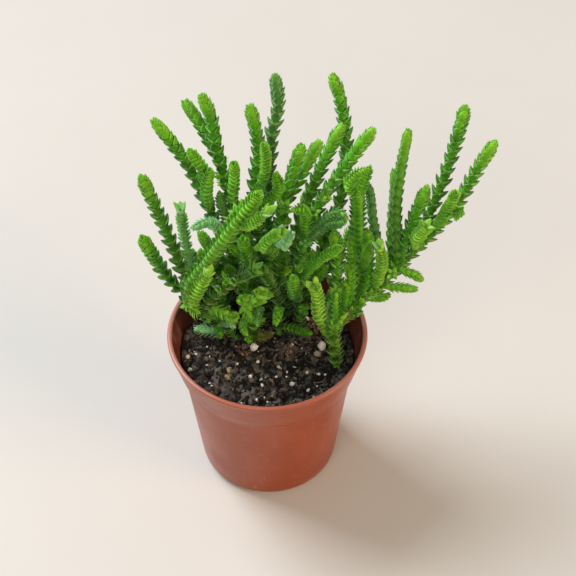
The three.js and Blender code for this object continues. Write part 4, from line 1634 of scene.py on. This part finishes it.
@dataclass(frozen=True)
class PotFinish:
    """Terracotta-coloured moulded plastic, with handling marks, a little dust, painted shade and reflections
    on the inner wall and a painted sheen on the lip.
    """

    body: Colour = (158, 70, 31)
    deep: Colour = (148, 63, 28)
    dust: Colour = (206, 176, 150)
    scuff: Colour = (220, 158, 130)
    # Painted shade of the collar's inner wall.
    inner_wall_shade: Colour = (98, 56, 50)
    # Painted sheen of the lip.
    lip_sheen: Colour = (196, 150, 140)
    # Painted reflections, streaked on the inner wall.
    wall_reflection: Colour = (164, 144, 150)
    collar_lean: float = 0.252
    # Where the inner wall's painted shade fades in, by the leaning distance from the axis.
    shaded_wall_edges: tuple[float, float] = (0.01405, 0.01385)
    collar_edges: tuple[float, float] = (0.0385, 0.039)
    lip_edges: tuple[float, float] = (0.0488, 0.0497)
    # Where the lip's painted sheen rises towards the sides.
    side_edges: tuple[float, float] = (0.012, 0.024)

    def material(self) -> bpy.types.Material:
        """Builds the plastic.

        It is clouded, powdered with dust and scratched in fine level lines. The collar's inner wall, found by
        its distance from the axis, is darkened by painted shade and streaked with pale painted reflections,
        and the lip is paled by a painted sheen, most at the sides.

        Returns:
            The material.
        """
        made, graph, shader = new_material("moulded_plastic")
        rise, times = graph.rise, graph.times
        cloud = graph.mottle(70, 0.3, 0.7).outputs["Mask"]
        powder = graph.mottle(420, 0.58, 0.8).outputs["Mask"]
        worn = graph.mottle(55, 0.5, 0.72).outputs["Mask"]
        place = graph.node("ShaderNodeTexCoord").outputs["Object"]
        scratch = times(rise(graph.noise(1.0, 2, graph.scaled(place, 60, 2600)), 0.66, 0.76), worn)
        right, back, up = graph.node("ShaderNodeSeparateXYZ", {0: place}).outputs
        flat = graph.node("ShaderNodeCombineXYZ", {0: right, 1: back}).outputs[0]
        radius = graph.node("ShaderNodeVectorMath", {0: flat}, operation="LENGTH").outputs["Value"]
        lean = graph.math("SUBTRACT", radius, times(up, self.collar_lean))
        # Painted shade: the collar's inner wall, darkened.
        wall = times(rise(lean, *self.shaded_wall_edges), rise(up, *self.collar_edges))
        # Painted reflection: pale streaks on the collar's inner wall.
        reflection_streak = times(rise(graph.noise(1.0, 3, graph.scaled(place, 330, 60)), 0.52, 0.7), wall)
        # Painted sheen: the top of the lip paled, most at the sides.
        sheen_at_sides = rise(graph.math("ABSOLUTE", right), *self.side_edges, 0.35, 1)
        lip = times(rise(up, *self.lip_edges), sheen_at_sides)
        layers = [
            (cloud, self.deep),
            (times(powder, 0.22), self.dust),
            (times(scratch, 0.4), self.scuff),
            (times(wall, 0.85), self.inner_wall_shade),
            (times(reflection_streak, 0.65), self.wall_reflection),
            (times(lip, 0.45), self.lip_sheen),
        ]
        graph.feed(shader.inputs["Base Color"], graph.layered(self.body, layers))
        rough = graph.math("ADD", rise(cloud, 0, 1, 0.3, 0.4), times(scratch, 0.15))
        graph.feed(shader.inputs["Roughness"], rough)
        peel = times(graph.mottle(1600, 0.3, 0.7).outputs["Height"], 0.4)
        relief = graph.math("SUBTRACT", peel, scratch)
        graph.feed(shader.inputs["Normal"], graph.bump(0.25, 0.0001, relief))
        set_sockets(
            shader,
            {
                "Specular IOR Level": 0.5,
                "Subsurface Weight": 0.06,
                "Subsurface Radius": (1.0, 0.35, 0.2),
                "Subsurface Scale": 0.0012,
            },
        )
        return made


@dataclass(frozen=True)
class GrainFinish:
    """A dull earthy finish: two shades that the painted tint picks between, stained in patches."""

    name: str
    one: Colour
    two: Colour
    stain: Colour
    staining: float
    patch: float
    relief: float
    roughness: float = 0.85

    def material(self) -> bpy.types.Material:
        """Builds the finish.

        Returns:
            The material.
        """
        made, graph, shader = new_material(self.name)
        tint = graph.rise(graph.painted("tint")[0], 0.2, 1.0)
        stained = graph.times(graph.mottle(self.patch, 0.42, 0.68).outputs["Mask"], self.staining)
        colour = graph.layered(self.one, [(tint, self.two), (stained, self.stain)])
        graph.feed(shader.inputs["Base Color"], colour)
        grit = graph.mottle(self.patch * 3, 0.3, 0.7).outputs["Height"]
        graph.feed(shader.inputs["Normal"], graph.bump(0.8, self.relief, grit))
        shader.inputs["Roughness"].default_value = self.roughness
        return made


EARTH = GrainFinish("peat", (4, 4, 4), (110, 102, 94), (3, 3, 3), 0.6, 1100, 0.0004, 0.9)
PERLITE = GrainFinish("perlite", (250, 248, 243), (222, 215, 202), (176, 160, 134), 0.3, 1500, 0.0003)
BARK = GrainFinish("bark", (84, 62, 46), (132, 104, 78), (44, 34, 27), 0.6, 1300, 0.0003)
PEBBLE = GrainFinish("gravel", (196, 180, 146), (166, 148, 116), (120, 100, 76), 0.4, 1200, 0.0003)
LITTER = GrainFinish("litter", (132, 88, 68), (176, 144, 108), (52, 36, 28), 0.5, 1300, 0.0003)
FIBRE = GrainFinish("root_fibre", (150, 122, 94), (104, 82, 62), (70, 56, 44), 0.4, 2500, 0.0001, 0.7)


@dataclass
class SoilDressing:
    """What lies in and on the bed: crumbs, bark, gravel, white grains, fibres and heaps of reddish litter."""

    soil: PottingSoil = field(default_factory=PottingSoil)
    crumbs: int = 2300
    chips: int = 60
    specks: int = 90
    threads: int = 60
    litter: tuple[Point, ...] = ((-6.6, 0.2, 1.3), (5.6, -0.4, 1.7), (11.8, 7.6, 1.5))
    litter_bits: int = 44

    def on_bed(self, places: Array, rise: float) -> Array:
        """Points over places of the bed, at a height above its surface."""
        x, y = places[:, 0], places[:, 1]
        return np.stack([x, y, self.soil.height(x, y) + rise], -1)

    def scattered(self, count: int, draw: np.random.Generator, rise: float) -> Array:
        """Points drawn evenly over the bed.

        Args:
            count: How many.
            draw: The dressing's random draw.
            rise: Their height above its surface.

        Returns:
            Rows of three coordinates.
        """
        radius = (self.soil.top_radius - 0.6) * np.sqrt(draw.uniform(0, 1, count))
        turn = draw.uniform(0, 2 * np.pi, count)
        return self.on_bed(np.stack([radius * np.cos(turn), radius * np.sin(turn)], -1), rise)

    def build(self) -> None:
        """Builds the bed in place of its solid, and everything on it."""
        slot = "potting_soil"
        earth = EARTH.material()
        self.soil.bed().piece("soil_bed", earth, slot, "soil")

        draw = np.random.default_rng([SEED, 100])
        size = draw.lognormal(-0.85, 0.45, (self.crumbs, 1)) * draw.uniform(0.45, 1.25, (self.crumbs, 3))
        centres = self.scattered(self.crumbs, draw, -0.05)
        lumps(centres, np.clip(size, 0.12, 1.3), 0.8, 101).piece("soil_crumbs", earth, slot)

        size = draw.uniform(0.5, 1.3, (self.chips, 1)) * np.array([1.0, 0.6, 0.3])
        centres = self.scattered(self.chips, draw, 0.0)
        lumps(centres, size, 0.35, 102).piece("bark_chips", BARK.material(), slot)

        stones = np.array(self.soil.pebbles)
        size = stones[:, 2:3] * draw.uniform(0.7, 1, (len(stones), 3))
        lumps(self.on_bed(stones, 0.25), size, 0.45, 103).piece("gravel_lumps", PEBBLE.material(), slot)

        grains = np.array(self.soil.grains)
        centres = np.vstack([self.on_bed(grains, 0.3), self.scattered(self.specks, draw, 0.0)])
        size = np.append(grains[:, 2], draw.uniform(0.18, 0.5, self.specks))[:, None]
        size = size * draw.uniform(0.75, 1.05, (len(size), 3))
        lumps(centres, size, 0.45, 104).piece("perlite_grains", PERLITE.material(), slot)

        starts = self.scattered(self.threads, draw, 0.2)
        turn = draw.uniform(0, 2 * np.pi, self.threads)
        reach = draw.uniform(2, 6, self.threads)[:, None]
        ends = self.on_bed(starts[:, :2] + reach * np.stack([np.cos(turn), np.sin(turn)], -1), 0.2)
        inside = np.linalg.norm(ends[:, :2], axis=1) < self.soil.top_radius - 0.5
        thickness = draw.uniform(0.06, 0.16, inside.sum())
        threads = fibres(starts[inside], ends[inside], thickness, 0.12, 105)
        threads.piece("root_fibres", FIBRE.material(), slot)

        heaps = np.repeat(np.array(self.litter), self.litter_bits, axis=0)
        place = heaps[:, :2] + heaps[:, 2:] * draw.normal(0, 1, (len(heaps), 2))
        size = draw.uniform(0.18, 0.55, (len(heaps), 1)) * draw.uniform(0.4, 1.2, (len(heaps), 3))
        lumps(self.on_bed(place, 0.15), size, 0.8, 106).piece("litter_bits", LITTER.material(), slot)


@dataclass(frozen=True)
class Lamp:
    """A square soft light: its place and its side in metres, its power in watts and its colour."""

    name: str
    place: Point
    side: float
    power: float
    colour: Colour


@dataclass
class Studio:
    """The plain pale floor, the soft lights and the camera."""

    floor_colour: Colour = (203, 201, 195)
    floor_size: float = 6.0
    aim: Point = (0.01, 0.0, 0.05)
    sky_colour: Colour = (240, 238, 232)
    sky_light: float = 0.36
    sky_seen: float = 0.86
    camera_place: Point = (5.645, -250.492, 335.695)
    camera_tilt: float = 43.0
    focal_length: float = 86.625
    sensor: float = 36.0
    floor_roughness: float = 0.6
    floor_dimming: float = 0.97
    lamps: tuple[Lamp, ...] = (
        Lamp("window", (-1.4, 1.0, 2.0), 1.3, 81, (240, 243, 250)),
        Lamp("warm_side", (1.5, -0.7, 0.8), 0.9, 17, (255, 206, 154)),
        Lamp("front_fill", (-0.25, -0.9, 1.0), 0.7, 5.0, (255, 246, 232)),
    )

    def floor(self) -> None:
        """Lays the floor: one wide flat face with a faint even tone."""
        half = self.floor_size / 2
        corners = [(-half, -half, 0), (half, -half, 0), (half, half, 0), (-half, half, 0)]
        mesh = bpy.data.meshes.new("floor")
        mesh.from_pydata(corners, [], [(0, 1, 2, 3)])
        made = put("floor", mesh)
        material, graph, shader = new_material("pale_floor")
        cloud = graph.mottle(9, 0.3, 0.7).outputs["Mask"]
        pale = linear(self.floor_colour)
        dim = (*[self.floor_dimming * value for value in pale[:3]], 1.0)
        graph.feed(shader.inputs["Base Color"], graph.mix(cloud, pale, dim))
        shader.inputs["Roughness"].default_value = self.floor_roughness
        mesh.materials.append(material)

    def hang(self, lamp: Lamp) -> None:
        """Hangs a lamp that faces the plant."""
        light = bpy.data.lights.new(lamp.name, "AREA")
        light.size, light.energy, light.color = lamp.side, lamp.power, linear(lamp.colour)[:3]
        made = put(lamp.name, light)
        made.location = lamp.place
        heading = Vector(self.aim) - Vector(lamp.place)
        made.rotation_euler = heading.to_track_quat("-Z", "Y").to_euler()

    def lights(self) -> None:
        """A broad cool window high on the left, a warm glow from the right and a sky that looks pale."""
        for lamp in self.lamps:
            self.hang(lamp)
        world = bpy.data.worlds.new("sky")
        world.use_nodes = True
        sky = Graph(world.node_tree)
        shader = world.node_tree.nodes["Background"]
        shader.inputs["Color"].default_value = linear(self.sky_colour)
        seen = sky.node("ShaderNodeLightPath").outputs["Is Camera Ray"]
        sky.feed(shader.inputs["Strength"], sky.rise(seen, 0, 1, self.sky_light, self.sky_seen))
        bpy.context.scene.world = world

    def camera(self) -> None:
        """Sets the camera where the view looks down on the plant at 47 degrees."""
        lens = bpy.data.cameras.new("camera")
        lens.lens, lens.sensor_width = self.focal_length, self.sensor
        made = put("camera", lens)
        made.location = tuple(MM * value for value in self.camera_place)
        made.rotation_euler = (math.radians(self.camera_tilt), 0, 0)
        bpy.context.scene.camera = made

    def build(self) -> None:
        """Sets the stage."""
        self.camera()
        self.floor()
        self.lights()
        bpy.context.scene.view_settings.view_transform = "Standard"


def main() -> None:
    """Builds the stage, the pot, the soil and every stem."""
    logging.basicConfig(level=logging.INFO, format="%(name)s: %(message)s")
    Studio().build()
    NurseryPot().build(PotFinish().material())
    SoilDressing().build()
    skin = LeafFinish().material()
    for number, (name, shoots) in enumerate(STEMS.items()):
        LeafyStem(name, shoots, number).build(skin)


if __name__ == "__main__":
    main()
